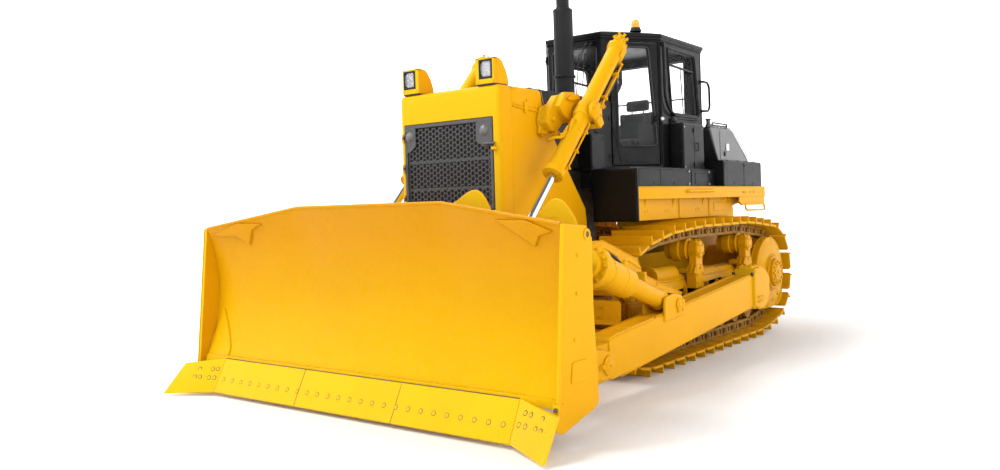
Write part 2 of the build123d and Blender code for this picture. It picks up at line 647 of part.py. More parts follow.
# tilt cylinder's bracket on the arm: inner and outer ear
ear = [(1395, 575), (1395, 700), (1450, 752), (1520, 768), (1603, 780), (1742, 764), (1768, 740), (1768, 555)]
ears = slab_y([(x, max(z, 600)) for x, z in ear], 1410, 1438) + slab_y(ear, arm_y1 - 1, 1646)
ears = ears + pin_y(1450, 690, 34, 1640, 1662)
ears = ears - pin_y(tilt_pin_x, tilt_pin_z, 30.06, 1400, 1700)
# the cylinder's rear eye turns in a hollow between the ears
arm = arm - pin_y(tilt_pin_x, tilt_pin_z, 72, tilt_y - 58, tilt_y + 58) + ears
node("push_arm_left", arm)
node("push_arm_right", flip(arm))
ball_stud = pin_y(trunnion_x, trunnion_z, 70, 1396, 1480) + ball(trunnion_x, 1470, trunnion_z, 84)
ball_stud = ball_stud - box(trunnion_x - 200, trunnion_x + 200, 1300, 1396, trunnion_z - 200, trunnion_z + 200)
two("trunnion_balls", ball_stud)

# tilt cylinder: barrel on the arm, rod to the blade
tilt_len = math.hypot(tilt_eye_x - tilt_pin_x, tilt_eye_z - tilt_pin_z)
tu = ((tilt_eye_x - tilt_pin_x) / tilt_len, (tilt_eye_z - tilt_pin_z) / tilt_len)


def on_tilt(s, h=0.0, y=tilt_y):
    return (tilt_pin_x + s * tu[0] - h * tu[1], y, tilt_pin_z + s * tu[1] + h * tu[0])


tilt_barrel = rod(on_tilt(150), on_tilt(770), 84)
tilt_barrel = tilt_barrel + rod(on_tilt(760), on_tilt(1262), 128)
tilt_barrel = tilt_barrel + rod(on_tilt(1255), on_tilt(1335), 168) + rod(on_tilt(1330), on_tilt(1400), 118)
tilt_barrel = tilt_barrel + pin_y(tilt_pin_x, tilt_pin_z, 62, tilt_y - 50, tilt_y + 50)
tilt_barrel = tilt_barrel + slab_y([on_tilt(0, -58)[::2], on_tilt(155, -70)[::2], on_tilt(155, 70)[::2], on_tilt(0, 58)[::2]], tilt_y - 50, tilt_y + 50)
tilt_barrel = tilt_barrel + pin_y(tilt_pin_x, tilt_pin_z, 30, 1412, 1652)
tilt_barrel = tilt_barrel - rod(on_tilt(800), on_tilt(1300), 90)
tilt_barrel = tilt_barrel - rod(on_tilt(1240), on_tilt(1450), 55.06)
# long flat guard beside the cylinder
guard_bar = [(2572, 1215), (2560, 1286), (2400, 1282), (1840, 1092), (1762, 962), (1392, 836), (1000, 722), (1000, 700),
             (1392, 762), (1770, 880), (1925, 962), (2281, 1167)]
tilt_barrel = tilt_barrel + slab_y(guard_bar, 1404, 1426)
tilt_barrel = tilt_barrel + box(2500, 2536, 1404, tilt_y, 1110, 1226) + box(1870, 1900, 1404, tilt_y, 850, 990)
node("tilt_barrel", tilt_barrel)
tilt_rod = rod(on_tilt(860), on_tilt(1760), 55)
tilt_rod = tilt_rod + rod(on_tilt(860), on_tilt(930), 89.9) + rod(on_tilt(1500), on_tilt(1730), 74)
tilt_rod = tilt_rod + slab_y([on_tilt(1725, -60)[::2], on_tilt(tilt_len, -60)[::2], on_tilt(tilt_len, 60)[::2], on_tilt(1725, 60)[::2]], tilt_y - 42, tilt_y + 42)
tilt_rod = tilt_rod + pin_y(tilt_eye_x, tilt_eye_z, 78, tilt_y - 42, tilt_y + 42)
tilt_rod = tilt_rod - pin_y(tilt_eye_x, tilt_eye_z, 44, tilt_y - 60, tilt_y + 60)
node("tilt_rod", tilt_rod)

# plain brace in its place on the right
brace = rod(on_tilt(150), on_tilt(1730), 84)
brace = brace + slab_y([on_tilt(1715, -64)[::2], on_tilt(tilt_len, -64)[::2], on_tilt(tilt_len, 64)[::2], on_tilt(1715, 64)[::2]], tilt_y - 42, tilt_y + 42)
brace = brace + pin_y(tilt_pin_x, tilt_pin_z, 62, tilt_y - 50, tilt_y + 50) + pin_y(tilt_eye_x, tilt_eye_z, 78, tilt_y - 42, tilt_y + 42)
brace = brace + slab_y([on_tilt(0, -58)[::2], on_tilt(155, -70)[::2], on_tilt(155, 70)[::2], on_tilt(0, 58)[::2]], tilt_y - 50, tilt_y + 50)
brace = brace - pin_y(tilt_eye_x, tilt_eye_z, 44, tilt_y - 60, tilt_y + 60) - pin_y(tilt_pin_x, tilt_pin_z, 30, 1400, 1700)
node("tilt_brace", flip(brace + pin_y(tilt_pin_x, tilt_pin_z, 30, 1412, 1652)))

# ================================================================= blade
skin = 30.0
# face of the moldboard: top, middle and bottom point (x, z) at the middle and at the ends
face_mid = [(3688.0, 1630.0), (3596.0, 945.0), (3836.0, 264.0)]
face_end = [(3797.0, 1466.0), (3686.0, 930.0), (3840.0, 264.0)]
swept_from_y, end_y = 822.0, 1958.0


def face_section(face, y):
    """Closed section of the moldboard: face arc, and its back, one skin behind."""
    top, mid, low = face
    a = Edge.make_three_point_arc((top[0], y, top[1]), (mid[0], y, mid[1]), (low[0], y, low[1]))
    b = Edge.make_line((low[0], y, low[1]), (low[0] - skin, y, low[1] - 6))
    c = Edge.make_three_point_arc((low[0] - skin, y, low[1] - 6), (mid[0] - skin, y, mid[1]), (top[0] - skin, y, top[1] - 4))
    d = Edge.make_line((top[0] - skin, y, top[1] - 4), (top[0], y, top[1]))
    return Wire([a, b, c, d])


middle = Solid.extrude(Face(face_section(face_mid, -swept_from_y)), Vector(0, 2 * swept_from_y, 0))
wing = Solid.make_loft([face_section(face_mid, swept_from_y), face_section(face_end, end_y)], ruled=True)
moldboard = middle + wing + flip(wing)
node("moldboard", moldboard)

side_plate = [(3794, 1466), (3849, 820), (3903, 238), (3940, 150), (3860, 120), (3456, 211), (3415, 254), (3456, 911), (3450, 1357), (3520, 1444)]
beam_back, beam_top_x, beam_low_x = 3440.0, 3548.0, 3618.0
back = join(
    box(beam_back, beam_top_x, -1965, 1965, 1120, 1400),
    box(beam_back, beam_low_x, -1965, 1965, 300, 600),
)
# upright ribs: y centre
rib_y = [0.0, 300.0, 560.0, 727.0, 992.0, 1335.0, 1725.0]
rib_high = [(3450, 1390), (3546, 1390), (3594, 1450), (3632, 1570), (3590, 1570)]
for y in rib_y:
    for s in (1, -1):
        if y == 0.0 and s < 0:
            continue
        rib = box(beam_back + 2, 3540, s * y - 12, s * y + 12, 590, 1130)
        if y < 800:
            rib = rib + slab_y(rib_high, s * y - 12, s * y + 12)
        back = back + rib
back = back + slab_y(side_plate, 1959, 1986) + slab_y(side_plate, -1986, -1959)
# ears: pin x, pin z, inner ear's y0, y1, outer ear's y0, y1, radius, outline back to the beam
ear_table = [
    (arm_pin_x, arm_pin_z, 1340, 1366, 1654, 1680, 108, [(3470, 600), (3470, 305), (2800, arm_pin_z - 108), (2790, arm_pin_z + 108)]),
    (lift_eye_x, lift_eye_z, 715, 740, 980, 1005, 95, [(3470, 980), (3470, 520), (3290, 646), (3290, 834)]),
    (tilt_eye_x, tilt_eye_z, 1323, 1348, 1712, 1737, 100, [(3470, 1390), (3470, 1125), (3290, tilt_eye_z - 98), (3290, tilt_eye_z + 98)]),
]
blade_ears = []
for px, pz, a0, a1, b0, b1, r, outline in ear_table:
    for ya, yb in ((a0, a1), (b0, b1)):
        e = slab_y(outline, ya, yb) + pin_y(px, pz, r, ya, yb)
        e = e - box(beam_back, beam_back + 100, ya - 5, yb + 5, 0, 1600)
        blade_ears += [e, flip(e)]
node("blade_ears", *blade_ears)
# rounded guards above the top beam on the left, outlines in Y-Z
humps = [
    [(751, 1390), (1100, 1390), (1100, 1562), (1082, 1606), (1050, 1658), (1018, 1690), (985, 1704), (945, 1704), (890, 1684), (800, 1632), (751, 1594)],
    [(1541, 1390), (1858, 1390), (1858, 1462), (1832, 1510), (1790, 1570), (1752, 1606), (1712, 1620), (1676, 1616), (1640, 1594), (1590, 1548), (1541, 1500)],
]
for outline in humps:
    back = back + slab_x(outline, 3442, 3466)
node("blade_frame", back)

# cutting edge: plate below the moldboard, section x, z
edge_section = [(3849, 313), (3986, 40), (3957, 22), (3822, 300)]
cutting = slab_y(edge_section, -1638, 1638)
node("cutting_edge", cutting)

# end bits: corners at the inner and outer end, face then back: x, y, z
def end_bit():
    inner = [(3849, 1640, 313), (3986, 1640, 40), (3957, 1640, 22), (3822, 1640, 300)]
    outer = [(4000, 2037, 261), (4208, 2065, 20), (4174, 2065, 20), (3966, 2037, 261)]
    return Solid.make_loft([Wire.make_polygon([Vector(*p) for p in inner]), Wire.make_polygon([Vector(*p) for p in outer])], ruled=True)


two("end_bits", end_bit())

total = Compound(children=[s for w in written.values() for s in w.solids()])
print("nodes", len(written), "box", total.bounding_box())
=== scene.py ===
import bpy, bmesh, math, json, random
from mathutils import Vector, Matrix


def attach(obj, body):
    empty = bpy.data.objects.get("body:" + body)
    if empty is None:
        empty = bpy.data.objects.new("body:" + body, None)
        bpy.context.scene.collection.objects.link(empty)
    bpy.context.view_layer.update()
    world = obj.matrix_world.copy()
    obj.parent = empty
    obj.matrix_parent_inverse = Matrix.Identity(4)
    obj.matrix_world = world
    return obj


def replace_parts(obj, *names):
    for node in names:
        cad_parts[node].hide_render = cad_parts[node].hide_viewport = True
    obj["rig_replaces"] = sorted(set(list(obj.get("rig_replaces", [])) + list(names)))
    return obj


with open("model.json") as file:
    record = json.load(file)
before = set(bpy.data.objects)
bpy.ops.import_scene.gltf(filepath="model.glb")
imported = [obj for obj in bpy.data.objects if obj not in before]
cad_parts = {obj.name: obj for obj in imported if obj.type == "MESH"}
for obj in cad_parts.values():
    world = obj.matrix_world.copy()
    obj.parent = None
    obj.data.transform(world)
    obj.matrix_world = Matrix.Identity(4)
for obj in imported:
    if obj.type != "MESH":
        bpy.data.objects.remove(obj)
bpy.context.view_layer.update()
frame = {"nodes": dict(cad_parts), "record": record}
random.seed(7)
SX = -768.0


def W(x, y, z):
    """Design millimetres (x from the middle of the ground contact) to the row frame in metres."""
    return Vector(((x + SX) * 0.001, y * 0.001, z * 0.001))


# ------------------------------------------------------------------ materials
def new_mat(name):
    m = bpy.data.materials.new(name)
    m.use_nodes = True
    nt = m.node_tree
    nt.nodes.clear()
    out = nt.nodes.new("ShaderNodeOutputMaterial")
    b = nt.nodes.new("ShaderNodeBsdfPrincipled")
    nt.links.new(b.outputs[0], out.inputs[0])
    return m, nt, b


def noise_node(nt, coord, scale, detail=4.0, rough=0.55):
    n = nt.nodes.new("ShaderNodeTexNoise")
    n.inputs["Scale"].default_value = scale
    n.inputs["Detail"].default_value = detail
    n.inputs["Roughness"].default_value = rough
    nt.links.new(coord, n.inputs["Vector"])
    return n


def ramp(nt, fac, stops):
    r = nt.nodes.new("ShaderNodeValToRGB")
    e = r.color_ramp.elements
    e[0].position, e[0].color = stops[0][0], (*stops[0][1], 1)
    e[1].position, e[1].color = stops[-1][0], (*stops[-1][1], 1)
    for p, c in stops[1:-1]:
        k = e.new(p)
        k.color = (*c, 1)
    nt.links.new(fac, r.inputs[0])
    return r


def mix_col(nt, fac, a, b):
    m = nt.nodes.new("ShaderNodeMix")
    m.data_type = "RGBA"
    if isinstance(fac, float):
        m.inputs[0].default_value = fac
    else:
        nt.links.new(fac, m.inputs[0])
    for sock, v in ((m.inputs[6], a), (m.inputs[7], b)):
        if isinstance(v, tuple):
            sock.default_value = (*v, 1)
        else:
            nt.links.new(v, sock)
    return m.outputs[2]


def math_node(nt, op, a, b=None, clamp=False):
    m = nt.nodes.new("ShaderNodeMath")
    m.operation = op
    m.use_clamp = clamp
    for i, v in enumerate((a, b)):
        if v is None:
            continue
        if isinstance(v, (int, float)):
            m.inputs[i].default_value = v
        else:
            nt.links.new(v, m.inputs[i])
    return m.outputs[0]


def paint(name, base, rough=0.32, dust=0.25, dust_col=(0.33, 0.27, 0.18), worn=None, bump=0.05, coat=0.12, vary=0.035, chips=0.0, chip_col=(0.06, 0.05, 0.045), spec=0.5, tint=(1.0, 1.0, 1.0), front=None):
    """Sprayed paint: slight colour drift, orange peel, dust on upward faces and low down, optional chips, optional
    painted sheen on forward faces.
    """
    m, nt, b = new_mat(name)
    tc = nt.nodes.new("ShaderNodeTexCoord")
    co = tc.outputs["Object"]
    geo = nt.nodes.new("ShaderNodeNewGeometry")
    big = noise_node(nt, co, 1.3, 3)
    mid = noise_node(nt, co, 9.0, 6, 0.65)
    fine = noise_node(nt, co, 420.0, 2)
    dark = tuple(c * (1 - vary * 1.6) for c in base)
    lite = tuple(min(1, c * (1 + vary)) for c in base)
    col = ramp(nt, big.outputs["Fac"], [(0.3, dark), (0.5, base), (0.7, lite)]).outputs[0]
    sep = nt.nodes.new("ShaderNodeSeparateXYZ")
    nt.links.new(geo.outputs["Normal"], sep.inputs[0])
    up = math_node(nt, "MULTIPLY", math_node(nt, "MAXIMUM", sep.outputs[2], 0.0), 0.55)
    pos = nt.nodes.new("ShaderNodeSeparateXYZ")
    nt.links.new(co, pos.inputs[0])
    low = math_node(nt, "SUBTRACT", 1.0, math_node(nt, "DIVIDE", pos.outputs[2], 1.1), True)
    amount = math_node(nt, "ADD", up, math_node(nt, "MULTIPLY", low, 0.8))
    speck = ramp(nt, mid.outputs["Fac"], [(0.42, (0, 0, 0)), (0.78, (1, 1, 1))]).outputs[0]
    fac = math_node(nt, "MULTIPLY", math_node(nt, "MULTIPLY", amount, speck), dust, True)
    col = mix_col(nt, fac, col, dust_col)
    if front:
        # painted sheen: paler towards the front colour where it faces forwards, standing in for the bright light from
        # the front
        fx = math_node(nt, "MAXIMUM", sep.outputs[0], 0.0)
        col = mix_col(nt, math_node(nt, "MULTIPLY", math_node(nt, "MULTIPLY", fx, fx), 0.9, True), col, front)
    if chips > 0:
        ch = noise_node(nt, co, 55.0, 6, 0.7)
        edge = ramp(nt, ch.outputs["Fac"], [(0.66 - 0.08 * chips, (0, 0, 0)), (0.69 - 0.06 * chips, (1, 1, 1))]).outputs[0]
        wide = ramp(nt, noise_node(nt, co, 4.0, 3).outputs["Fac"], [(0.48, (0, 0, 0)), (0.62, (1, 1, 1))]).outputs[0]
        cf = math_node(nt, "MULTIPLY", edge, wide, True)
        col = mix_col(nt, cf, col, chip_col)
    nt.links.new(col, b.inputs["Base Color"])
    rr = ramp(nt, mid.outputs["Fac"], [(0.3, (rough * 0.85,) * 3), (0.7, (min(1, rough * 1.25),) * 3)]).outputs[0]
    nt.links.new(math_node(nt, "ADD", rr, math_node(nt, "MULTIPLY", fac, 0.4), True), b.inputs["Roughness"])
    b.inputs["Coat Weight"].default_value = coat
    b.inputs["Specular IOR Level"].default_value = spec
    b.inputs["Specular Tint"].default_value = (*tint, 1)
    b.inputs["Coat Roughness"].default_value = 0.12
    h = math_node(nt, "ADD", math_node(nt, "MULTIPLY", fine.outputs["Fac"], 0.25), math_node(nt, "MULTIPLY", noise_node(nt, co, 60.0, 3).outputs["Fac"], 0.75))
    bp = nt.nodes.new("ShaderNodeBump")
    bp.inputs["Strength"].default_value = bump
    bp.inputs["Distance"].default_value = 0.004
    nt.links.new(h, bp.inputs["Height"])
    nt.links.new(bp.outputs[0], b.inputs["Normal"])
    return m


def metal(name, base, rough, metallic=1.0, grime=(0.05, 0.035, 0.02), amount=0.5, scale=14.0, bump=0.2, streak=None):
    m, nt, b = new_mat(name)
    tc = nt.nodes.new("ShaderNodeTexCoord")
    co = tc.outputs["Object"]
    if streak:
        mp = nt.nodes.new("ShaderNodeMapping")
        mp.inputs["Scale"].default_value = streak
        nt.links.new(co, mp.inputs[0])
        co = mp.outputs[0]
    n = noise_node(nt, co, scale, 6, 0.65)
    f = noise_node(nt, tc.outputs["Object"], scale * 14, 3)
    fac = ramp(nt, n.outputs["Fac"], [(0.4, (0, 0, 0)), (0.7, (amount,) * 3)]).outputs[0]
    nt.links.new(mix_col(nt, fac, tuple(base), tuple(grime)), b.inputs["Base Color"])
    rr = ramp(nt, n.outputs["Fac"], [(0.35, (rough * 0.8,) * 3), (0.7, (min(1, rough * 1.5),) * 3)]).outputs[0]
    nt.links.new(rr, b.inputs["Roughness"])
    b.inputs["Metallic"].default_value = metallic
    bp = nt.nodes.new("ShaderNodeBump")
    bp.inputs["Strength"].default_value = bump
    bp.inputs["Distance"].default_value = 0.002
    nt.links.new(f.outputs["Fac"], bp.inputs["Height"])
    nt.links.new(bp.outputs[0], b.inputs["Normal"])
    return m


YEL = (0.67, 0.315, 0.002)
FRONT_SHEEN = (0.66, 0.415, 0.012)
GOLD = (1.0, 0.66, 0.06)
# yellow's front colour is a painted sheen: paler lemon on faces that look forwards
yellow = paint("yellow_paint", YEL, 0.34, 0.10, (0.45, 0.30, 0.10), coat=0.0, spec=0.06, tint=GOLD, front=FRONT_SHEEN)
yellow_low = paint("yellow_paint_undercarriage", (0.58, 0.270, 0.002), 0.42, 0.30, (0.20, 0.12, 0.04), coat=0.0, chips=0.2, spec=0.11, tint=GOLD)
yellow_track = paint("track_paint", (0.62, 0.300, 0.003), 0.46, 0.42, (0.15, 0.085, 0.025), coat=0.0, bump=0.12, chips=0.35, spec=0.12, tint=GOLD)
link_paint = paint("link_paint", (0.26, 0.120, 0.006), 0.5, 0.7, (0.07, 0.042, 0.02), coat=0.0, bump=0.2, chips=0.8, spec=0.2)
yellow_edge = paint("cutting_edge_paint", (0.76, 0.455, 0.008), 0.30, 0.06, (0.45, 0.32, 0.10), chips=0.05, coat=0.0, spec=0.14, tint=(1.0, 0.75, 0.10))
black = paint("black_paint", (0.0062, 0.0064, 0.0069), 0.34, 0.02, (0.05, 0.05, 0.05), coat=0.0, vary=0.1, spec=0.13)
# the tank's black paint with a lighter base colour, a painted reflection of the bright backdrop, and a glossier coat
tank_black_painted_reflection = paint("tank_paint_painted_reflection", (0.020, 0.020, 0.021), 0.30, 0.02, (0.06, 0.06, 0.06), coat=0.35, vary=0.1, spec=0.5)
knob_mat = paint("knob_paint", (0.13, 0.13, 0.135), 0.35, 0.05, (0.15, 0.145, 0.14), coat=0.1, spec=0.5)
black_soft = paint("black_paint_matt", (0.016, 0.016, 0.017), 0.6, 0.2, (0.10, 0.095, 0.085), coat=0.0, bump=0.15, spec=0.25)
grille_grey = paint("grille_paint", (0.062, 0.062, 0.066), 0.42, 0.1, (0.12, 0.115, 0.11), coat=0.0, spec=0.5)
steel = metal("worn_steel", (0.32, 0.29, 0.26), 0.45, 0.9, amount=0.7)
seams_and_painted_shade = metal("seams_and_painted_shade", (0.10, 0.085, 0.07), 0.55, 0.6, amount=0.6)
bolt_mat = metal("bolt_zinc", (0.55, 0.52, 0.45), 0.35, 0.9, amount=0.3, scale=60)
chrome = metal("rod_chrome", (0.82, 0.83, 0.85), 0.09, 1.0, grime=(0.5, 0.48, 0.44), amount=0.18, scale=6, bump=0.015, streak=(1, 8, 8))
rubber = metal("hose_rubber", (0.016, 0.016, 0.017), 0.55, 0.0, grime=(0.05, 0.045, 0.04), amount=0.5, scale=30, bump=0.3)
plastic = metal("interior_plastic", (0.035, 0.035, 0.037), 0.5, 0.0, grime=(0.07, 0.065, 0.06), amount=0.4, scale=40, bump=0.35)
engine_mat = metal("engine_iron", (0.09, 0.09, 0.095), 0.6, 0.3, amount=0.6, scale=9, bump=0.5)
# near black: the radiator core's own dark colour, deepened as painted shade of the recess behind the grille; also the
# sheet behind the grille's holes
core_black_and_painted_shade = metal("radiator_fins_and_painted_shade", (0.005, 0.005, 0.0055), 0.7, 0.2, amount=0.4, scale=60, bump=0.4)
exhaust_mat = paint("exhaust_paint", (0.014, 0.014, 0.015), 0.45, 0.12, (0.10, 0.07, 0.05), coat=0.0, bump=0.2, chips=0.2, chip_col=(0.06, 0.03, 0.015), spec=0.14)


def fabric(name, base):
    m, nt, b = new_mat(name)
    tc = nt.nodes.new("ShaderNodeTexCoord")
    w = nt.nodes.new("ShaderNodeTexWave")
    w.inputs["Scale"].default_value = 190
    w.inputs["Distortion"].default_value = 0.6
    w2 = nt.nodes.new("ShaderNodeTexWave")
    w2.bands_direction = "Z"
    w2.inputs["Scale"].default_value = 190
    nt.links.new(tc.outputs["Object"], w.inputs[0])
    nt.links.new(tc.outputs["Object"], w2.inputs[0])
    h = math_node(nt, "MULTIPLY", w.outputs["Fac"], w2.outputs["Fac"])
    n = noise_node(nt, tc.outputs["Object"], 12, 4)
    c = ramp(nt, n.outputs["Fac"], [(0.3, tuple(v * 0.7 for v in base)), (0.7, tuple(v * 1.4 for v in base))]).outputs[0]
    nt.links.new(mix_col(nt, math_node(nt, "MULTIPLY", h, 0.5), c, tuple(v * 2.2 for v in base)), b.inputs["Base Color"])
    b.inputs["Roughness"].default_value = 0.85
    b.inputs["Sheen Weight"].default_value = 0.3
    bp = nt.nodes.new("ShaderNodeBump")
    bp.inputs["Strength"].default_value = 0.4
    bp.inputs["Distance"].default_value = 0.002
    nt.links.new(h, bp.inputs["Height"])
    nt.links.new(bp.outputs[0], b.inputs["Normal"])
    return m


seat_mat = fabric("seat_fabric", (0.03, 0.03, 0.034))


def glass_mat(name, tint, rough=0.02, alpha=0.25):
    m, nt, b = new_mat(name)
    tc = nt.nodes.new("ShaderNodeTexCoord")
    n = noise_node(nt, tc.outputs["Object"], 3.0, 5, 0.6)
    c = ramp(nt, n.outputs["Fac"], [(0.35, tint), (0.8, tuple(min(1, v * 1.25 + 0.02) for v in tint))]).outputs[0]
    nt.links.new(c, b.inputs["Base Color"])
    r = ramp(nt, n.outputs["Fac"], [(0.4, (rough,) * 3), (0.8, (rough + 0.08,) * 3)]).outputs[0]
    nt.links.new(r, b.inputs["Roughness"])
    b.inputs["IOR"].default_value = 1.45
    b.inputs["Alpha"].default_value = alpha
    return m


pane_mat = glass_mat("window_glass", (0.26, 0.28, 0.28), 0.02, 0.028)
lens_mat = glass_mat("lamp_lens", (0.50, 0.52, 0.55), 0.05, 0.20)
reflector = metal("lamp_reflector", (0.62, 0.62, 0.65), 0.12, 1.0, grime=(0.5, 0.5, 0.5), amount=0.3, scale=40, bump=0.5)
amber = glass_mat("amber_lens", (0.95, 0.36, 0.02), 0.12, 0.85)
red_lens = glass_mat("red_lens", (0.6, 0.02, 0.01), 0.12, 0.9)


# ------------------------------------------------------------------ mesh tools
def frame_of(d):
    d = Vector(d).normalized()
    a = Vector((0, 0, 1)) if abs(d.z) < 0.9 else Vector((1, 0, 0))
    u = d.cross(a).normalized()
    return u, d.cross(u).normalized(), d


class Mesh:
    """One piece, gathered from bevelled parts. Lengths in design millimetres."""

    def __init__(self):
        self.bm = bmesh.new()

    def take(self, part, bevel=0.0, seg=2, angle=28.0):
        if bevel > 0:
            part.normal_update()
            es = []
            for e in part.edges:
                if len(e.link_faces) == 2:
                    try:
                        if e.calc_face_angle() > math.radians(angle):
                            es.append(e)
                    except ValueError:
                        pass
            if es:
                bmesh.ops.bevel(part, geom=es, offset=bevel * 0.001, segments=seg, profile=0.5, affect="EDGES", clamp_overlap=True)
        me = bpy.data.meshes.new("t")
        part.to_mesh(me)
        self.bm.from_mesh(me)
        bpy.data.meshes.remove(me)
        part.free()
        return self

    def prism(self, pts, vec, bevel=3.0, seg=2):
        """Closed outline of points in W(), pushed along vec (mm)."""
        part = bmesh.new()
        v = Vector(vec) * 0.001
        a = [part.verts.new(p) for p in pts]
        b = [part.verts.new(p + v) for p in pts]
        part.faces.new(a)
        part.faces.new(list(reversed(b)))
        n = len(a)
        for i in range(n):
            part.faces.new((a[i], b[i], b[(i + 1) % n], a[(i + 1) % n]))
        bmesh.ops.recalc_face_normals(part, faces=part.faces)
        return self.take(part, bevel, seg)

    def box(self, x0, x1, y0, y1, z0, z1, bevel=4.0, seg=2):
        return self.prism([W(x0, y0, z0), W(x1, y0, z0), W(x1, y1, z0), W(x0, y1, z0)], (0, 0, z1 - z0), bevel, seg)

    def slab_y(self, xz, y0, y1, bevel=4.0, seg=2):
        return self.prism([W(x, y0, z) for x, z in xz], (0, y1 - y0, 0), bevel, seg)

    def slab_x(self, yz, x0, x1, bevel=4.0, seg=2):
        return self.prism([W(x0, y, z) for y, z in yz], (x1 - x0, 0, 0), bevel, seg)

    def slab_z(self, xy, z0, z1, bevel=4.0, seg=2):
        return self.prism([W(x, y, z0) for x, y in xy], (0, 0, z1 - z0), bevel, seg)

    def lathe(self, p, d, profile, seg=40, turn=0.0, close=True):
        """Profile of (distance along d, radius) in mm turned about the line from p along d."""
        u, v, d = frame_of(d)
        part = bmesh.new()
        rings = []
        for s, r in profile:
            c = p + d * (s * 0.001)
            if r <= 0.01:
                rings.append([part.verts.new(c)])
            else:
                rings.append([part.verts.new(c + (u * math.cos(turn + 2 * math.pi * k / seg) + v * math.sin(turn + 2 * math.pi * k / seg)) * (r * 0.001)) for k in range(seg)])
        for a, b in zip(rings, rings[1:]):
            for k in range(seg):
                j = (k + 1) % seg
                if len(a) == 1 and len(b) == 1:
                    continue
                if len(a) == 1:
                    part.faces.new((a[0], b[j], b[k]))
                elif len(b) == 1:
                    part.faces.new((a[k], a[j], b[0]))
                else:
                    part.faces.new((a[k], a[j], b[j], b[k]))
        if close:
            if len(rings[0]) > 1:
                part.faces.new(list(reversed(rings[0])))
            if len(rings[-1]) > 1:
                part.faces.new(rings[-1])
        bmesh.ops.recalc_face_normals(part, faces=part.faces)
        return self.take(part)

    def cyl(self, p, q, r, seg=32, c=3.0, r2=None):
        """Round bar from p to q with chamfered rims."""
        d = q - p
        L = d.length * 1000
        r2 = r if r2 is None else r2
        c = min(c, L * 0.4, r * 0.5)
        return self.lathe(p, d, [(0, r - c), (c, r), (L - c, r2), (L, r2 - c)], seg)

    def ring(self, p, d, r0, r1, h, seg=40, c=2.0):
        """Flat ring of inner radius r0, outer r1, thickness h along d."""
        prof = [(0, r0), (0, r1 - c), (c, r1), (h - c, r1), (h, r1 - c), (h, r0), (0, r0)]
        return self.lathe(p, d, prof, seg, close=False)

    def bolt(self, p, d, r=14.0, h=11.0, washer=True):
        """Hexagon head with a washer, standing on p along d."""
        u, v, d = frame_of(d)
        if washer:
            self.lathe(p - d * 0.0015, d, [(0, r * 1.35), (3.2, r * 1.35), (4.0, r * 1.25)], 14)
        t = random.random() * 1.0
        return self.lathe(p, d, [(0, r), (h - 1.5, r), (h, r * 0.86)], 6, t)

    def tube(self, pts, r, seg=10, smooth=6, cap=True, flat=1.0):
        """Round bar or hose through points (row frame), rounded between them."""
        if smooth > 1 and len(pts) > 2:
            out = []
            n = len(pts)
            for i in range(n - 1):
                p0 = pts[max(i - 1, 0)]; p1 = pts[i]; p2 = pts[i + 1]; p3 = pts[min(i + 2, n - 1)]
                for k in range(smooth):
                    t = k / smooth
                    out.append(0.5 * ((2 * p1) + (p2 - p0) * t + (2 * p0 - 5 * p1 + 4 * p2 - p3) * t * t + (3 * p1 - p0 - 3 * p2 + p3) * t ** 3))
            out.append(pts[-1])
            pts = out
        part = bmesh.new()
        rings = []
        u = None
        for i, p in enumerate(pts):
            d = (pts[min(i + 1, len(pts) - 1)] - pts[max(i - 1, 0)]).normalized()
            if u is None:
                u = frame_of(d)[0]
            u = (u - d * u.dot(d)).normalized()
            v = d.cross(u)
            rings.append([part.verts.new(p + (u * math.cos(2 * math.pi * k / seg) + v * math.sin(2 * math.pi * k / seg) * flat) * r * 0.001) for k in range(seg)])
        for a, b in zip(rings, rings[1:]):
            for k in range(seg):
                part.faces.new((a[k], a[(k + 1) % seg], b[(k + 1) % seg], b[k]))
        if cap:
            part.faces.new(list(reversed(rings[0])))
            part.faces.new(rings[-1])
        bmesh.ops.recalc_face_normals(part, faces=part.faces)
        return self.take(part)

    def bend(self, pts, r, radius=40.0, seg=10):
        """Bar with straight runs and small round corners."""
        out = [pts[0]]
        for a, b, c in zip(pts, pts[1:], pts[2:]):
            d1, d2 = (a - b), (c - b)
            k = min(radius * 0.001, d1.length * 0.45, d2.length * 0.45)
            s, e = b + d1.normalized() * k, b + d2.normalized() * k
            for i in range(7):
                t = i / 6
                out.append(s * (1 - t) ** 2 + b * 2 * t * (1 - t) + e * t * t)
        out.append(pts[-1])
        return self.tube(out, r, seg, 1)

    def cad(self, node, bevel=3.0, seg=2, angle=30.0, flat=0.6):
        """The CAD node's own surface, cleaned and with its edges broken."""
        part = bmesh.new()
        part.from_mesh(frame["nodes"][node].data)
        bmesh.ops.remove_doubles(part, verts=part.verts, dist=2e-5)
        if flat > 0:
            bmesh.ops.dissolve_limit(part, angle_limit=math.radians(flat), verts=part.verts, edges=part.edges)
        part.normal_update()
        if bevel > 0:
            es = []
            for e in part.edges:
                if len(e.link_faces) == 2 and e.calc_length() > 0.0015:
                    try:
                        if e.calc_face_angle() > math.radians(angle):
                            es.append(e)
                    except ValueError:
                        pass
            if es:
                bmesh.ops.bevel(part, geom=es, offset=bevel * 0.001, segments=seg, profile=0.5, affect="EDGES", clamp_overlap=False)
        return self.take(part)

    def flip(self):
        """Adds nothing: mirrors the whole piece to the machine's right."""
        bmesh.ops.transform(self.bm, matrix=Matrix.Diagonal((1, -1, 1, 1)), verts=self.bm.verts)
        bmesh.ops.reverse_faces(self.bm, faces=self.bm.faces)
        return self

    def both(self):
        me = bpy.data.meshes.new("t")
        self.bm.to_mesh(me)
        other = bmesh.new()
        other.from_mesh(me)
        bpy.data.meshes.remove(me)
        bmesh.ops.transform(other, matrix=Matrix.Diagonal((1, -1, 1, 1)), verts=other.verts)
        bmesh.ops.reverse_faces(other, faces=other.faces)
        return self.take(other)

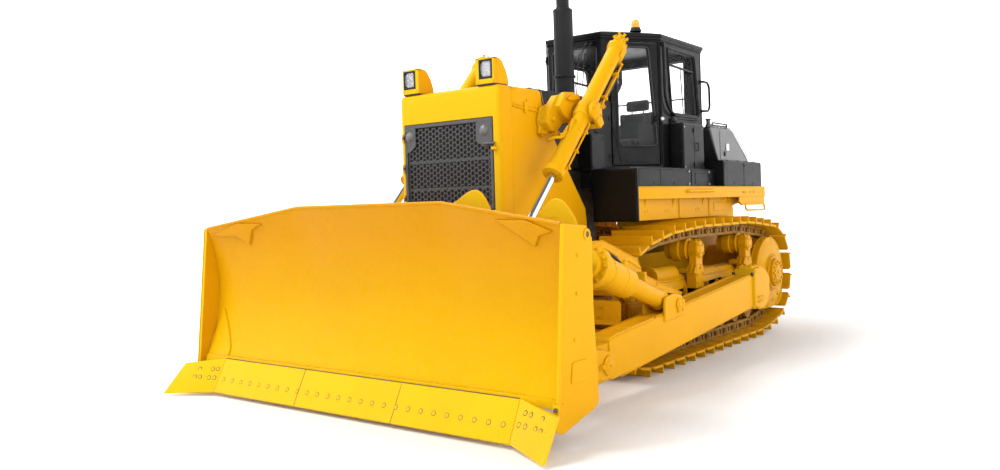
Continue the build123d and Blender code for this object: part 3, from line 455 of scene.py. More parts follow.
    def put(self, name, mat, body, slot, *nodes, smooth=32.0, weighted=True):
        me = bpy.data.meshes.new(name)
        bmesh.ops.triangulate(self.bm, faces=[f for f in self.bm.faces if len(f.verts) > 4])
        self.bm.to_mesh(me)
        self.bm.free()
        me.polygons.foreach_set("use_smooth", [True] * len(me.polygons))
        me.set_sharp_from_angle(angle=math.radians(smooth))
        me.materials.append(mat)
        ob = bpy.data.objects.new(name, me)
        bpy.context.scene.collection.objects.link(ob)
        if weighted:
            wn = ob.modifiers.new("wn", "WEIGHTED_NORMAL")
            wn.keep_sharp = True
            wn.weight = 70
        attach(ob, body)
        if nodes:
            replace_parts(ob, *nodes)
        pieces[name] = ob
        return ob


pieces = {}
body_of = {n: b for b, ns in frame["record"]["behaviour"]["bodies"].items() for n in ns}


def skin(node, mat, slot, bevel=3.0, seg=2):
    """The CAD node with broken edges, in its finish."""
    return Mesh().cad(node, bevel, seg).put("vis_" + node, mat, body_of[node], slot, node)


# ------------------------------------------------------------------ construction lines, as in the CAD
def on_line(p, q):
    L = math.hypot(q[0] - p[0], q[1] - p[1])
    e = ((q[0] - p[0]) / L, (q[1] - p[1]) / L)
    return lambda s, h=0.0: (p[0] + s * e[0] - h * e[1], p[1] + s * e[1] + h * e[0])


TRUNNION, ARM_PIN = (-565.0, 645.0), (2790.0, 355.0)
TILT_PIN, TILT_EYE = (1520.0, 680.0), (3300.0, 1290.0)
YOKE, LIFT_EYE = (1742.0, 2427.0), (3300.0, 740.0)
on_arm = on_line(TRUNNION, ARM_PIN)
on_tilt = on_line(TILT_PIN, TILT_EYE)
on_lift = on_line(YOKE, LIFT_EYE)
Y1 = Vector((0, 1, 0))


def P3(xz, y):
    return W(xz[0], y, xz[1])


tilt_dir = (P3(on_tilt(1), 0) - P3(on_tilt(0), 0)).normalized()
lift_dir = (P3(on_lift(1), 0) - P3(on_lift(0), 0)).normalized()
lift_up = Vector((-lift_dir.z, 0, lift_dir.x))
arm_up = Vector((-(P3(on_arm(1), 0) - P3(on_arm(0), 0)).normalized().z, 0, (P3(on_arm(1), 0) - P3(on_arm(0), 0)).normalized().x))

# cab face: t along the slanted left face from its front corner, n outwards
FX, FY = 565.0, 342.0
fl = math.hypot(565.0, 403.0)
FE = (-565.0 / fl, 403.0 / fl)
FN = (403.0 / fl, 565.0 / fl)
face_out = Vector((FN[0], FN[1], 0))


def F(t, n, z):
    return W(FX + t * FE[0] + n * FN[0], FY + t * FE[1] + n * FN[1], z)


def face_box(m, t0, t1, n0, n1, z0, z1, bevel=3.0, seg=2):
    return m.prism([F(t0, n0, z0), F(t1, n0, z0), F(t1, n1, z0), F(t0, n1, z0)], (0, 0, z1 - z0), bevel, seg)


def unit(m):
    """Turns a Mesh into a plain mesh that can be stamped many times."""
    me = bpy.data.meshes.new("unit")
    m.bm.to_mesh(me)
    m.bm.free()
    return me


def stamp(m, me, matrix):
    c = me.copy()
    c.transform(matrix)
    m.bm.from_mesh(c)
    bpy.data.meshes.remove(c)


def local(x, y, z):
    return Vector((x * 0.001, y * 0.001, z * 0.001))


# ------------------------------------------------------------------ chain
GUIDES = [(-1250.0, 305.0, 163.0), (1520.0, 600.0, 458.0), (1397.0, 972.0, 163.0), (987.0, 1053.0, 163.0),
          (340.0, 1095.0, 163.0), (-936.0, 1095.0, 163.0), (-1630.0, 700.0, 489.0)]
SHOES = 41


def chain_line():
    runs, dots = [], []
    n = len(GUIDES)
    for i in range(n):
        x1, z1, r1 = GUIDES[i]
        x2, z2, r2 = GUIDES[(i + 1) % n]
        gap = math.hypot(x2 - x1, z2 - z1)
        ex, ez = (x2 - x1) / gap, (z2 - z1) / gap
        a = (r1 - r2) / gap
        b = math.sqrt(1 - a * a)
        nx, nz = a * ex + b * ez, a * ez - b * ex
        runs.append(((nx, nz), (x1 + r1 * nx, z1 + r1 * nz), (x2 + r2 * nx, z2 + r2 * nz)))
    for i, (nm, s, e) in enumerate(runs):
        for k in range(40):
            t = k / 40.0
            dots.append((s[0] + t * (e[0] - s[0]), s[1] + t * (e[1] - s[1])))
        gx, gz, gr = GUIDES[(i + 1) % n]
        a0 = math.atan2(nm[1], nm[0])
        nx = runs[(i + 1) % n][0]
        a1 = math.atan2(nx[1], nx[0])
        while a1 < a0:
            a1 += 2 * math.pi
        for k in range(60):
            a = a0 + (a1 - a0) * k / 60.0
            dots.append((gx + gr * math.cos(a), gz + gr * math.sin(a)))
    dots.append(dots[0])
    far, out = 0.0, [(0.0,) + dots[0]]
    for (xa, za), (xb, zb) in zip(dots, dots[1:]):
        far += math.hypot(xb - xa, zb - za)
        out.append((far, xb, zb))
    return out


chain = chain_line()
chain_len = chain[-1][0]
pitch = chain_len / SHOES
first_pin = (1279.0 + 0.39 * pitch - 0.5 * pitch) - chain[0][1]


def on_chain(s):
    s %= chain_len
    for (s0, x0, z0), (s1, x1, z1) in zip(chain, chain[1:]):
        if s0 <= s <= s1 and s1 > s0:
            t = (s - s0) / (s1 - s0)
            return x0 + t * (x1 - x0), z0 + t * (z1 - z0)
    return chain[0][1], chain[0][2]


hp = pitch / 2


def shoe_unit():
    """One shoe: rolled plate with its lip turned down and one grouser, ends cut at the corners, four bolts."""
    m = Mesh()
    sec = [(-106, 57), (-107.5, 70), (-104, 80), (-101, 82), (-97.5, 108), (-95.5, 137), (-93, 141.5), (-84, 141.5), (-81, 138), (-79, 108),
           (-74, 84), (-66, 81), (40, 81), (72, 80.5), (92, 77), (103, 69), (107, 58), (103, 54.5), (92, 56), (60, 57), (-60, 57)]
    part = bmesh.new()
    rows = []
    for y, cut in ((-280, 1), (-262, 0), (262, 0), (280, 1)):
        row = []
        for u, n in sec:
            k = 1.0
            if cut and n < 84:
                u = max(-92.0, min(86.0, u))
            row.append(part.verts.new(local(u, y, n)))
        rows.append(row)
    q = len(sec)
    for a, b in zip(rows, rows[1:]):
        for i in range(q):
            part.faces.new((a[i], a[(i + 1) % q], b[(i + 1) % q], b[i]))
    part.faces.new(list(reversed(rows[0])))
    part.faces.new(rows[-1])
    bmesh.ops.recalc_face_normals(part, faces=part.faces)
    m.take(part)
    for u in (-34, 46):
        for y in (-96, -64, 64, 96):
            m.bolt(local(u, y, 80.5), Vector((0, 0, 1)), 12, 10, washer=False)
    # raised forging pads round the bolts
    for s in (-1, 1):
        m.prism([local(-56, s * 80 - 34, 80), local(66, s * 80 - 34, 80), local(66, s * 80 + 34, 80), local(-56, s * 80 + 34, 80)], (0, 0, 2.6), 1.2, 1)
    return unit(m)


def link_unit():
    """One pair of forged links with its pin and bushing."""
    m = Mesh()
    rail = [(-108, -48), (-100, -58), (100, -58), (108, -48), (106, -34), (70, -26), (-70, -26), (-106, -34)]
    seat = [(-88, 30), (-78, 55), (78, 55), (88, 30), (60, 26), (-60, 26)]
    web = [(-17, -30), (17, -30), (22, 30), (-22, 30)]
    up_l = [(-hp - 34, 10), (-hp - 26, 36), (-hp, 46), (-70, 55), (-30, 50), (-52, 22), (-80, 16)]
    lo_l = [(-hp - 34, -10), (-80, -14), (-50, -26), (-40, -40), (-100, -56), (-hp - 22, -44)]
    for s in (-1, 1):
        def yy(a, b):
            return (s * a, s * b) if s > 0 else (s * b, s * a)

        def slab(pts, a, b, bev=2.5):
            lo, hi = min(s * a, s * b), max(s * a, s * b)
            m.prism([local(u, lo, n) for u, n in pts], (0, hi - lo, 0), bev, 1)
        slab(rail, 64, 106, 3)
        slab(seat, 66, 104, 3)
        slab(web, 70, 100, 2)
        slab(up_l, 84, 108)
        slab(lo_l, 84, 108)
        mir = lambda pts: [(-u, n) for u, n in reversed(pts)]
        slab(mir(up_l), 62, 85)
        slab(mir(lo_l), 62, 85)
        m.lathe(local(-hp, s * 84, 0), Vector((0, s, 0)), [(0, 43), (20, 43), (25, 38)], 20)
        m.lathe(local(hp, s * 61, 0), Vector((0, s, 0)), [(0, 38), (2, 43), (24, 43)], 20)
        m.lathe(local(-hp, s * 106, 0), Vector((0, s, 0)), [(0, 26), (6, 26), (7, 22), (4, 20), (9, 19), (10, 16)], 16)
        for u in (-36, 44):
            m.bolt(local(u, s * 84, 32), Vector((0, 0, -1)), 14, 13, washer=False)
    m.lathe(local(-hp, -62, 0), Vector((0, 1, 0)), [(0, 33), (124, 33)], 18)
    return unit(m)


shoe_me, link_me = shoe_unit(), link_unit()
spots = []
for i in range(SHOES):
    x0, z0 = on_chain(first_pin + i * pitch)
    x1, z1 = on_chain(first_pin + (i + 1) * pitch)
    size = math.hypot(x1 - x0, z1 - z0)
    ex, ez = (x1 - x0) / size, (z1 - z0) / size
    spots.append(((x0 + x1) / 2, (z0 + z1) / 2, ex, ez))
for side, tag in ((1, "left"), (-1, "right")):
    ms, ml = Mesh(), Mesh()
    for x, z, ex, ez in spots:
        M = Matrix(((ex, 0, ez, 0), (0, -1, 0, 0), (ez, 0, -ex, 0), (0, 0, 0, 1)))
        M.translation = W(x, side * 1070.0, z)
        stamp(ms, shoe_me, M)
        stamp(ml, link_me, M)
    ms.put("track_shoes_" + tag, yellow_track, "chassis", "track_steel", "track_" + tag, smooth=38)
    ml.put("track_links_" + tag, link_paint, "chassis", "track_steel", smooth=38)

# ------------------------------------------------------------------ sprocket, final drive, idler, rollers
m = Mesh()
for k in range(18):
    a = 2 * math.pi * (k + 0.3) / 18
    m.bolt(P3((-1630 + 405 * math.cos(a), 700 + 405 * math.sin(a)), 1108), Y1, 15, 12)
m.both()
m.cad("sprockets", 5, 2)
m.put("vis_sprockets", link_paint, "chassis", "roller_steel", "sprockets")

m = Mesh()
hub = W(-1630, 1385, 700)
for k in range(12):
    a = 2 * math.pi * k / 12
    m.bolt(P3((-1630 + 128 * math.cos(a), 700 + 128 * math.sin(a)), 1386), Y1, 17, 17)
m.ring(W(-1630, 1322, 700), Y1, 160, 196, 22, 48, 5)
for k in range(16):
    a = 2 * math.pi * (k + 0.5) / 16
    m.bolt(P3((-1630 + 190 * math.cos(a), 700 + 190 * math.sin(a)), 1325), Y1, 11, 10)
m.lathe(hub, Y1, [(0, 92), (8, 92), (12, 86), (12, 64)], 40)
m.bolt(W(-1630, 1397, 700), Y1, 26, 9)
# drain plugs, seam of the cover and its lower flange bolts
m.ring(W(-1630, 1206, 700), Y1, 418, 431, 9, 96, 3)
for a in (-58, -90, -122):
    m.bolt(P3((-1630 + 330 * math.cos(math.radians(a)), 700 + 330 * math.sin(math.radians(a))), 1311 - 2), Y1, 16, 12)
for x in range(-1990, -1250, 92):
    m.bolt(W(x, 1285, 318 + (30 if x > -1350 or x < -1960 else 0)), Y1, 9, 8)
m.prism([W(-2052, 1200, 720), W(-2052, 1280, 720), W(-2052, 1280, 430), W(-2052, 1200, 430)], (-7, 0, 0), 3)
for z in (480, 580, 680):
    for y in (1215, 1265):
        m.bolt(W(-2059, y, z), Vector((-1, 0, 0)), 9, 8)
m.both()
m.cad("final_drives", 12, 4)
m.put("vis_final_drives", yellow_low, "chassis", "yellow_paint", "final_drives", smooth=38)

m = Mesh()
m.ring(W(1520, 1178, 600), Y1, 88, 128, 14, 40, 4)
for k in range(6):
    a = 2 * math.pi * k / 6
    m.bolt(P3((1520 + 108 * math.cos(a), 600 + 108 * math.sin(a)), 1192), Y1, 11, 8)
for a in range(0, 360, 45):
    c, s = math.cos(math.radians(a)), math.sin(math.radians(a))
    q = [(1520 + 128 * c - 9 * s, 600 + 128 * s + 9 * c), (1520 + 332 * c - 9 * s, 600 + 332 * s + 9 * c), (1520 + 332 * c + 9 * s, 600 + 332 * s - 9 * c), (1520 + 128 * c + 9 * s, 600 + 128 * s - 9 * c)]
    m.slab_y(q, 1124, 1160, 3)
m.both()
m.cad("idlers", 7, 3)
m.put("vis_idlers", yellow_low, "chassis", "yellow_paint", "idlers", smooth=38)

m = Mesh()
for x in (340, -936):
    m.lathe(W(x, 1311, 1092), Y1, [(0, 80), (7, 80), (11, 74), (11, 40), (16, 36), (18, 28)], 40)
    for k in range(4):
        a = math.radians(45 + 90 * k)
        m.bolt(W(x + 60 * math.cos(a), 1321, 1092 + 60 * math.sin(a)), Y1, 12, 12)
    m.box(x - 62, x + 62, 1222, 1304, 1130, 1180, 9, 3)
    for dx in (-42, 42):
        for y in (1242, 1284):
            m.bolt(W(x + dx, y, 1180), Vector((0, 0, 1)), 13, 14)
    m.box(x - 66, x + 66, 1212, 1308, 1022, 1030, 3)
    # gusset in front of and behind the post, foot bolts
    for s in (-1, 1):
        m.prism([W(x + s * 70, 1236, 940), W(x + s * 124, 1236, 856), W(x + s * 70, 1236, 856)], (0, 26, 0), 4)
        m.prism([W(x + s * 70, 1282, 940), W(x + s * 124, 1282, 856), W(x + s * 70, 1282, 856)], (0, 18, 0), 4)
        m.bolt(W(x + s * 62, 1306, 760), Y1, 13, 11)
        m.bolt(W(x + s * 62, 1306, 840), Y1, 13, 11)
    m.ring(W(x, 1182, 1092), Y1, 60, 90, 22, 40, 4)
    m.bolt(W(x, 1306, 905), Y1, 14, 12)
m.both()
m.cad("carrier_rollers", 9, 3)
m.put("vis_carrier_rollers", yellow_low, "chassis", "yellow_paint", "carrier_rollers", smooth=38)

m = Mesh()
# roller guards with their bolts, corrugated part, recoil cover, guide lugs on the frame's top
for x in range(-1120, 1180, 185):
    m.bolt(W(x, 1204, 462), Y1, 15, 12)
    m.bolt(W(x + 60, 1204, 356), Y1, 15, 12)
for k in range(9):
    x = -1160 + 74 * k
    m.prism([W(x, 1203, 330), W(x + 26, 1203, 330), W(x + 74, 1203, 468), W(x + 48, 1203, 468)], (0, 16, 0), 5)
for x in range(-1040, 1000, 255):
    m.box(x, x + 14, 1189, 1230, 505, 735, 4)
m.box(-1060, 1075, 1188, 1206, 505, 522, 4)
m.tube([W(-1060, 1160, 798), W(1070, 1160, 798)], 9, 10, 1)
m.box(-420, 160, 1000, 1120, 850, 862, 5)
for x in (-390, -130, 130):
    for y in (1018, 1102):
        m.bolt(W(x, y, 862), Vector((0, 0, 1)), 12, 10)
m.cyl(W(520, 1070, 850), W(980, 1070, 850), 92, 40, 8)
m.cyl(W(975, 1070, 850), W(1010, 1070, 850), 106, 40, 5)
m.box(990, 1650, 1233, 1246, 560, 640, 5)
for x in (1030, 1130, 1400, 1600):
    m.bolt(W(x, 1246, 600), Y1, 14, 12)
m.both()
m.cad("track_frames", 8, 3)
m.put("vis_track_frames", yellow_low, "chassis", "yellow_paint", "track_frames", smooth=38)

m = Mesh().cad("track_rollers", 4, 2)
m.put("vis_track_rollers", link_paint, "chassis", "roller_steel", "track_rollers")
# ------------------------------------------------------------------ push arms
def arm_details():
    m = Mesh()
    # flat bar along the top near the outer edge, and one along the inner edge
    m.prism([P3(on_arm(s, h), 1572) for s, h in ((330, 163), (2440, 163), (2440, 180), (330, 180))], (0, 40, 0), 4)
    m.prism([P3(on_arm(s, h), 1412) for s, h in ((330, 163), (1830, 163), (1830, 172), (330, 172))], (0, 26, 0), 3)
    # weld beads along the box's edges
    for h in (-165, 165):
        m.tube([P3(on_arm(s, h), 1619) for s in (215, 1000, 2000, 3100)], 4.5, 8, 1)
        m.tube([P3(on_arm(s, h), 1401) for s in (215, 1000, 2000, 3100)], 4.5, 8, 1)
    m.tube([P3(on_arm(3234, -150), 1614), P3(on_arm(3234, 140), 1614)], 5, 8, 1)
    # trunnion cap: cover plate with a rounded back, joint strip, bolts and a small loop
    cap = [(-272, 462), (-272, 792), (-306, 832), (-441, 848), (-552, 826), (-628, 780), (-676, 728), (-676, 566), (-628, 482), (-552, 434), (-440, 419)]
    m.slab_y([(x, z) for x, z in cap], 1630, 1643, 5, 3)
    m.box(-268, -256, 1612, 1640, 430, 806, 4)
    m.box(-470, -300, 1450, 1600, 838, 874, 8)
    for x in (-440, -330):
        for y in (1475, 1575):
            m.bolt(W(x, y, 874 if x > -400 else 874), Vector((0, 0, 1)), 15, 14)
    m.bend([W(-330, 1640, 548), W(-330, 1662, 548), W(-455, 1662, 548), W(-455, 1640, 548)], 7, 14)
    m.bend([W(-330, 1640, 500), W(-330, 1662, 500), W(-455, 1662, 500), W(-455, 1640, 500)], 7, 14)
    # pin boss on the outer ear with its keeper
    m.lathe(W(1520, 1645, 680), Y1, [(0, 50), (12, 50), (16, 45), (16, 30), (22, 28), (24, 22)], 40)
    m.box(1440, 1560, 1646, 1656, 608, 636, 3)
    m.bolt(W(1460, 1656, 622), Y1, 10, 9)
    m.bolt(W(1540, 1656, 622), Y1, 10, 9)
    m.bolt(W(1460, 1661, 690), Y1, 13, 9)
    # front end: round boss and retaining plate
    m.lathe(W(2790, 1604, 355), Y1, [(0, 112), (10, 112), (14, 106), (14, 84)], 48)
    m.prism([P3(on_arm(s, h), 1500) for s, h in ((2860, 180), (2990, 180), (2990, 186), (2860, 186))], (0, 90, 0), 2)
    return m


m = arm_details().cad("push_arm_left", 9, 3)
m.put("vis_push_arm_left", yellow, "arm_left", "yellow_paint", "push_arm_left", smooth=36)
m = arm_details().flip().cad("push_arm_right", 9, 3)
m.put("vis_push_arm_right", yellow, "arm_right", "yellow_paint", "push_arm_right", smooth=36)
for s, tag in ((1, "left"), (-1, "right")):
    # small black blocks on the arm's top beside the trunnion cap: painted shadow of the gap between arm and cap
    m = Mesh()
    m.box(-285, -225, 1612, 1634, 772, 812, 5)
    m.box(-285, -225, 1402, 1424, 772, 812, 5)
    if s < 0:
        m.flip()
    m.put("arm_notch_painted_shadow_" + tag, rubber, "arm_" + tag, "plastic")

# ------------------------------------------------------------------ tilt cylinder, its rod, and the plain brace
m = Mesh()
up_t = Vector((-tilt_dir.z, 0, tilt_dir.x))
for k in range(14):
    a = 2 * math.pi * (k + 0.5) / 14
    c = P3(on_tilt(1335), 1530) + (up_t * math.cos(a) + Y1 * math.sin(a)) * 0.144
    m.bolt(c, tilt_dir, 14, 15)
    m.bolt(P3(on_tilt(1256), 1530) + (up_t * math.cos(a) + Y1 * math.sin(a)) * 0.148, -tilt_dir, 12, 10)
p = P3(on_tilt(0), 1530)
m.lathe(p, tilt_dir, [(1228, 128), (1236, 138), (1258, 150)], 48, close=False)
m.lathe(p, tilt_dir, [(742, 84.5), (748, 104), (762, 122), (780, 128.5)], 48, close=False)
m.lathe(p, tilt_dir, [(150, 85), (152, 93), (172, 95), (190, 88), (196, 84)], 48, close=False)
m.lathe(p, tilt_dir, [(1398, 112), (1402, 104), (1402, 70), (1398, 60)], 48, close=False)
for s in (900, 1110):
    m.lathe(p, tilt_dir, [(s, 128), (s + 4, 133), (s + 26, 133), (s + 30, 128)], 48, close=False)
# ports on top with fittings and the pipe along the top
for s in (820, 1205):
    c = p + tilt_dir * (s * 0.001) + up_t * 0.118
    m.cyl(c, c + up_t * 0.042, 26, 24, 3)
    m.bolt(c + up_t * 0.042, up_t, 20, 16, washer=False)
    q = c + up_t * 0.058
    m.tube([q, q - tilt_dir * 0.03 + up_t * 0.016, q - tilt_dir * 0.12 + up_t * 0.012 + Y1 * 0.008, q - tilt_dir * 0.24 + up_t * 0.002 + Y1 * 0.012], 11, 10, 5)
m.box(2500, 2548, 1398, 1430, 1168, 1214, 5)
# guard bar's edge flange and lugs
bar = [(2572, 1215), (2560, 1286), (2400, 1282), (1840, 1092), (1762, 962), (1392, 836), (1000, 722)]
m.tube([W(x, 1426, z) for x, z in bar], 5, 8, 1)
for x, z in ((2470, 1240), (1900, 1060), (1500, 850)):
    m.bolt(W(x, 1426, z), Y1, 13, 10)
m.cad("tilt_barrel", 6, 3)
m.put("vis_tilt_barrel", yellow, "tilt_barrel_body", "yellow_paint", "tilt_barrel", smooth=36)
m = Mesh()
c = p + tilt_dir * 1.160 + up_t * 0.15 - Y1 * 0.04
m.tube([c + tilt_dir * 0.04 - up_t * 0.02, c + up_t * 0.02 - tilt_dir * 0.04, c - tilt_dir * 0.22 + up_t * 0.03, c - tilt_dir * 0.46 - up_t * 0.03, c - tilt_dir * 0.66 - up_t * 0.06 - Y1 * 0.03], 13, 12, 8)
m.put("tilt_hose", rubber, "tilt_barrel_body", "plastic")

m = Mesh()
m.lathe(p, tilt_dir, [(1496, 56), (1500, 74.5), (1512, 78), (1722, 78), (1734, 70)], 40, close=False)
m.ring(W(3300, 1484, 1290), Y1, 44, 70, 4, 40)
m.ring(W(3300, 1572, 1290), Y1, 44, 70, 4, 40)
m.cad("tilt_rod", 4, 2)
m.put("vis_tilt_rod", yellow, "tilt_rod_body", "cylinder_rod", "tilt_rod", smooth=36)
m = Mesh()
m.lathe(p, tilt_dir, [(1330, 55.25), (1500, 55.25)], 48, close=False)
m.put("tilt_rod_sleeve", chrome, "tilt_rod_body", "cylinder_rod")

m = Mesh()
for s in (260, 1560):
    m.lathe(p, tilt_dir, [(s, 84), (s + 5, 94), (s + 34, 94), (s + 39, 84)], 48, close=False)
m.lathe(p, tilt_dir, [(148, 86), (152, 96), (190, 90), (196, 84)], 48, close=False)
m.lathe(p, tilt_dir, [(1690, 84), (1700, 92), (1730, 92), (1738, 80)], 48, close=False)
m.flip()
m.cad("tilt_brace", 6, 3)
m.put("vis_tilt_brace", yellow, "arm_right", "yellow_paint", "tilt_brace", smooth=36)

# ------------------------------------------------------------------ lift cylinders
def lift_parts(body_yellow, body_black, body_rod):
    """Left cylinder at y = 860: castings and pipes, black hoses."""
    m = body_yellow
    c0 = P3(on_lift(0), 860)
    out = Y1

    def at(s, h=0.0, y=0.0):
        return c0 + lift_dir * (s * 0.001) + lift_up * (h * 0.001) + out * (y * 0.001)
    # head: cap, flange and a crown of screws and fittings
    m.lathe(c0, -lift_dir, [(880, 78), (886, 92), (918, 92), (924, 80), (940, 66), (985, 60), (990, 66), (1006, 62), (1012, 54), (1040, 50), (1046, 40), (1066, 34), (1070, 20)], 40)
    for k in range(8):
        a = 2 * math.pi * k / 8 + 0.2
        r = lift_up * math.cos(a) + out * math.sin(a)
        m.bolt(at(-922) + r * 0.076, -lift_dir, 13, 24, washer=False)
    for row, (s0, rad, lean) in enumerate(((-955, 0.050, 0.45), (-1000, 0.046, 0.7), (-1044, 0.036, 1.2))):
        for k in range(6):
            a = 2 * math.pi * (k + 0.5 * row) / 6
            r = lift_up * math.cos(a) + out * math.sin(a)
            d = (-lift_dir * lean + r).normalized()
            m.cyl(at(s0) + r * rad, at(s0) + r * rad + d * 0.036, 12, 12, 2)
            m.bolt(at(s0) + r * rad + d * 0.026, d, 16, 14, washer=False)
    m.bolt(at(-1066), -lift_dir, 20, 16, washer=False)
    # manifold on the rear outer side near the top
    m.prism([at(-900, -96, 40), at(-900, -58, 88), at(-790, -58, 88), at(-760, -100, 40), at(-800, -132, 10), at(-880, -132, 10)], tuple((lift_up * 62)), 8, 3)
    m.cyl(at(-900, -60, 60), at(-952, -46, 44), 26, 20, 4)
    m.cyl(at(-772, -104, 40), at(-736, -104, 40), 17, 16, 3)
    m.bolt(at(-770, -98, 64), lift_dir, 20, 22, washer=False)
    m.bolt(at(-764, -118, 22), lift_dir, 18, 20, washer=False)
    # two thin pipes with clamps down to the trunnion
    m.tube([at(-750, -102, 66), at(-640, -100, 70), at(-400, -98, 68), at(-240, -98, 66), at(-170, -104, 60), at(-120, -112, 40)], 9.5, 10, 6)
    m.tube([at(-750, -118, 24), at(-640, -112, 34), at(-400, -108, 40), at(-230, -112, 36), at(-170, -122, 16)], 8, 10, 6)
    for s in (-620, -300):
        m.prism([at(s, -70, 34), at(s, -70, 84), at(s, -124, 84), at(s, -124, 20)], tuple(lift_dir * 22), 4)
        m.bolt(at(s + 11, -98, 84), out, 9, 9)
    m.prism([at(-215, -80, 20), at(-215, -80, 84), at(-215, -134, 84), at(-215, -134, 4)], tuple(lift_dir * 46), 6)
    for k, (h, y) in enumerate(((-92, 84), (-120, 84))):
        m.bolt(at(-192, h, y), out, 11, 12)
    # trunnion band with its rim
    m.lathe(c0, lift_dir, [(-78, 76), (-72, 88), (-58, 92), (58, 92), (72, 88), (78, 76)], 48, close=False)
    m.lathe(c0, lift_dir, [(-8, 92), (-5, 96), (5, 96), (8, 92)], 48, close=False)
    # lower barrel: hook lug, seam collar, drain line, lower head
    m.lathe(c0, lift_dir, [(232, 75), (236, 80), (262, 80), (266, 75)], 48, close=False)
    m.prism([at(250, 60, -30), at(410, 60, -30), at(430, 96, -30), at(398, 128, -30), at(372, 100, -30), at(262, 92, -30)], tuple(out * 26), 6)
    m.bend([at(420, 92, -18), at(440, 120, -60), at(452, 112, -120), at(448, 96, -150)], 15, 30, 12)
    m.prism([at(180, 62, 8), at(330, 70, 8), at(330, 84, 8), at(200, 108, 8), at(176, 92, 8)], tuple(out * 14), 4)
    m.tube([at(96, -60, 66), at(150, -62, 72), at(420, -62, 70), at(640, -60, 68), at(716, -52, 60)], 9, 10, 6)
    m.cyl(at(90, -56, 60), at(120, -60, 66), 16, 16, 3)
    for s in (200, 440, 640):
        m.prism([at(s, -40, 56), at(s, -40, 88), at(s, -84, 88), at(s, -84, 44)], tuple(lift_dir * 16), 3)
    m.prism([at(700, -96, 30), at(700, -60, 74), at(760, -60, 74), at(776, -84, 40), at(760, -100, 20)], tuple(lift_up * 44), 6)
    m.lathe(c0, lift_dir, [(718, 76), (724, 94), (730, 97), (786, 97), (794, 92), (796, 60)], 48, close=False)
    m.lathe(c0, lift_dir, [(796, 64), (799, 60), (799, 46)], 40, close=False)
    for k in range(8):
        a = 2 * math.pi * (k + 0.5) / 8
        r = lift_up * math.cos(a) + out * math.sin(a)
        m.bolt(at(795) + r * 0.078, lift_dir, 9, 4, washer=False)
    # trunnion end caps
    for s in (1, -1):
        m.lathe(c0 + out * (0.128 * s), out * s, [(0, 38), (6, 38), (9, 34), (9, 18)], 32)
    b = body_black
    b.tube([at(-738, -104, 42), at(-690, -112, 46), at(-560, -128, 52), at(-420, -128, 52), at(-300, -118, 50), at(-222, -108, 50)], 14, 12, 8)
    b.lathe(at(-742, -104, 42), lift_dir, [(0, 19), (34, 19), (36, 15)], 16)
    return m


for tag, s in (("left", 1), ("right", -1)):
    ym, bm_, rm = Mesh(), Mesh(), Mesh()
    lift_parts(ym, bm_, rm)
    if s < 0:
        ym.flip()
        bm_.flip()
    ym.cad("lift_barrel_" + tag, 3, 2)
    ym.put("vis_lift_barrel_" + tag, yellow, "lift_barrel_%s_body" % tag, "yellow_paint", "lift_barrel_" + tag, smooth=36)
    bm_.put("lift_hose_" + tag, rubber, "lift_barrel_%s_body" % tag, "plastic")
    rm.cad("lift_rod_" + tag, 2, 2)
    rm.put("vis_lift_rod_" + tag, chrome, "lift_rod_%s_body" % tag, "cylinder_rod", "lift_rod_" + tag)
    em = Mesh()
    L = math.hypot(LIFT_EYE[0] - YOKE[0], LIFT_EYE[1] - YOKE[1])
    em.lathe(P3(on_lift(0), 860), lift_dir, [(L - 168, 37), (L - 164, 52), (L - 110, 52), (L - 84, 46), (L - 66, 40)], 32, close=False)
    em.ring(W(3300, 813, 740), Y1, 40, 74, 94, 40, 4)
    em.bolt(P3(on_lift(L + 70), 860), lift_dir, 8, 12, washer=False)
    if s < 0:
        em.flip()
    em.put("lift_rod_eye_" + tag, yellow, "lift_rod_%s_body" % tag, "yellow_paint")

# ------------------------------------------------------------------ yokes on the guard
m = Mesh()
for x, z, r in ((2040, 2452, 17), (2092, 2350, 17), (2040, 2248, 17)):
    m.lathe(W(x, 627, z), Y1, [(0, r * 1.9), (5, r * 1.9), (8, r * 1.7)], 32)
    m.bolt(W(x, 634, z), Y1, r * 1.25, 20, washer=False)
for x, z in ((1887, 2479), (2016, 2363), (1962, 2236)):
    m.lathe(W(x, 700 if z > 2300 else 696, z), Y1, [(-40, 27), (0, 27), (6, 25), (22, 22), (26, 16)], 28)
m.lathe(W(1742, 763, 2427), Y1, [(-4, 96), (0, 96), (4, 90), (4, 70)], 48, close=False)
m.lathe(W(1742, 994, 2427), Y1, [(-10, 88), (0, 88), (8, 82), (8, 46), (14, 40), (16, 28), (16, 0)], 48, close=False)
for k in range(6):
    a = math.radians(30 + 60 * k)
    m.bolt(W(1742 + 68 * math.cos(a), 1001, 2427 + 68 * math.sin(a)), Y1, 11, 12)
m.prism([W(2110, 628, 2228), W(2110, 628, 2262), W(2110, 650, 2262), W(2110, 650, 2228)], (-60, 0, 0), 5)
m.prism([W(1905, 764, 2545), W(1800, 764, 2590), W(1700, 764, 2590), W(1690, 764, 2560), W(1820, 764, 2530)], (0, 22, 0), 7)
m.prism([W(1700, 702, 2598), W(1900, 702, 2590), W(1880, 702, 2612), W(1740, 702, 2622)], (0, 50, 0), 6)
m.both()
m.cad("lift_yokes", 11, 3)
m.put("vis_lift_yokes", yellow, "chassis", "yellow_paint", "lift_yokes", smooth=40)

# ------------------------------------------------------------------ rounded-square discs, panel seams
def sq(a, e):
    c, s = math.cos(a), math.sin(a)
    return (math.copysign(abs(c) ** (2 / e), c), math.copysign(abs(s) ** (2 / e), s))


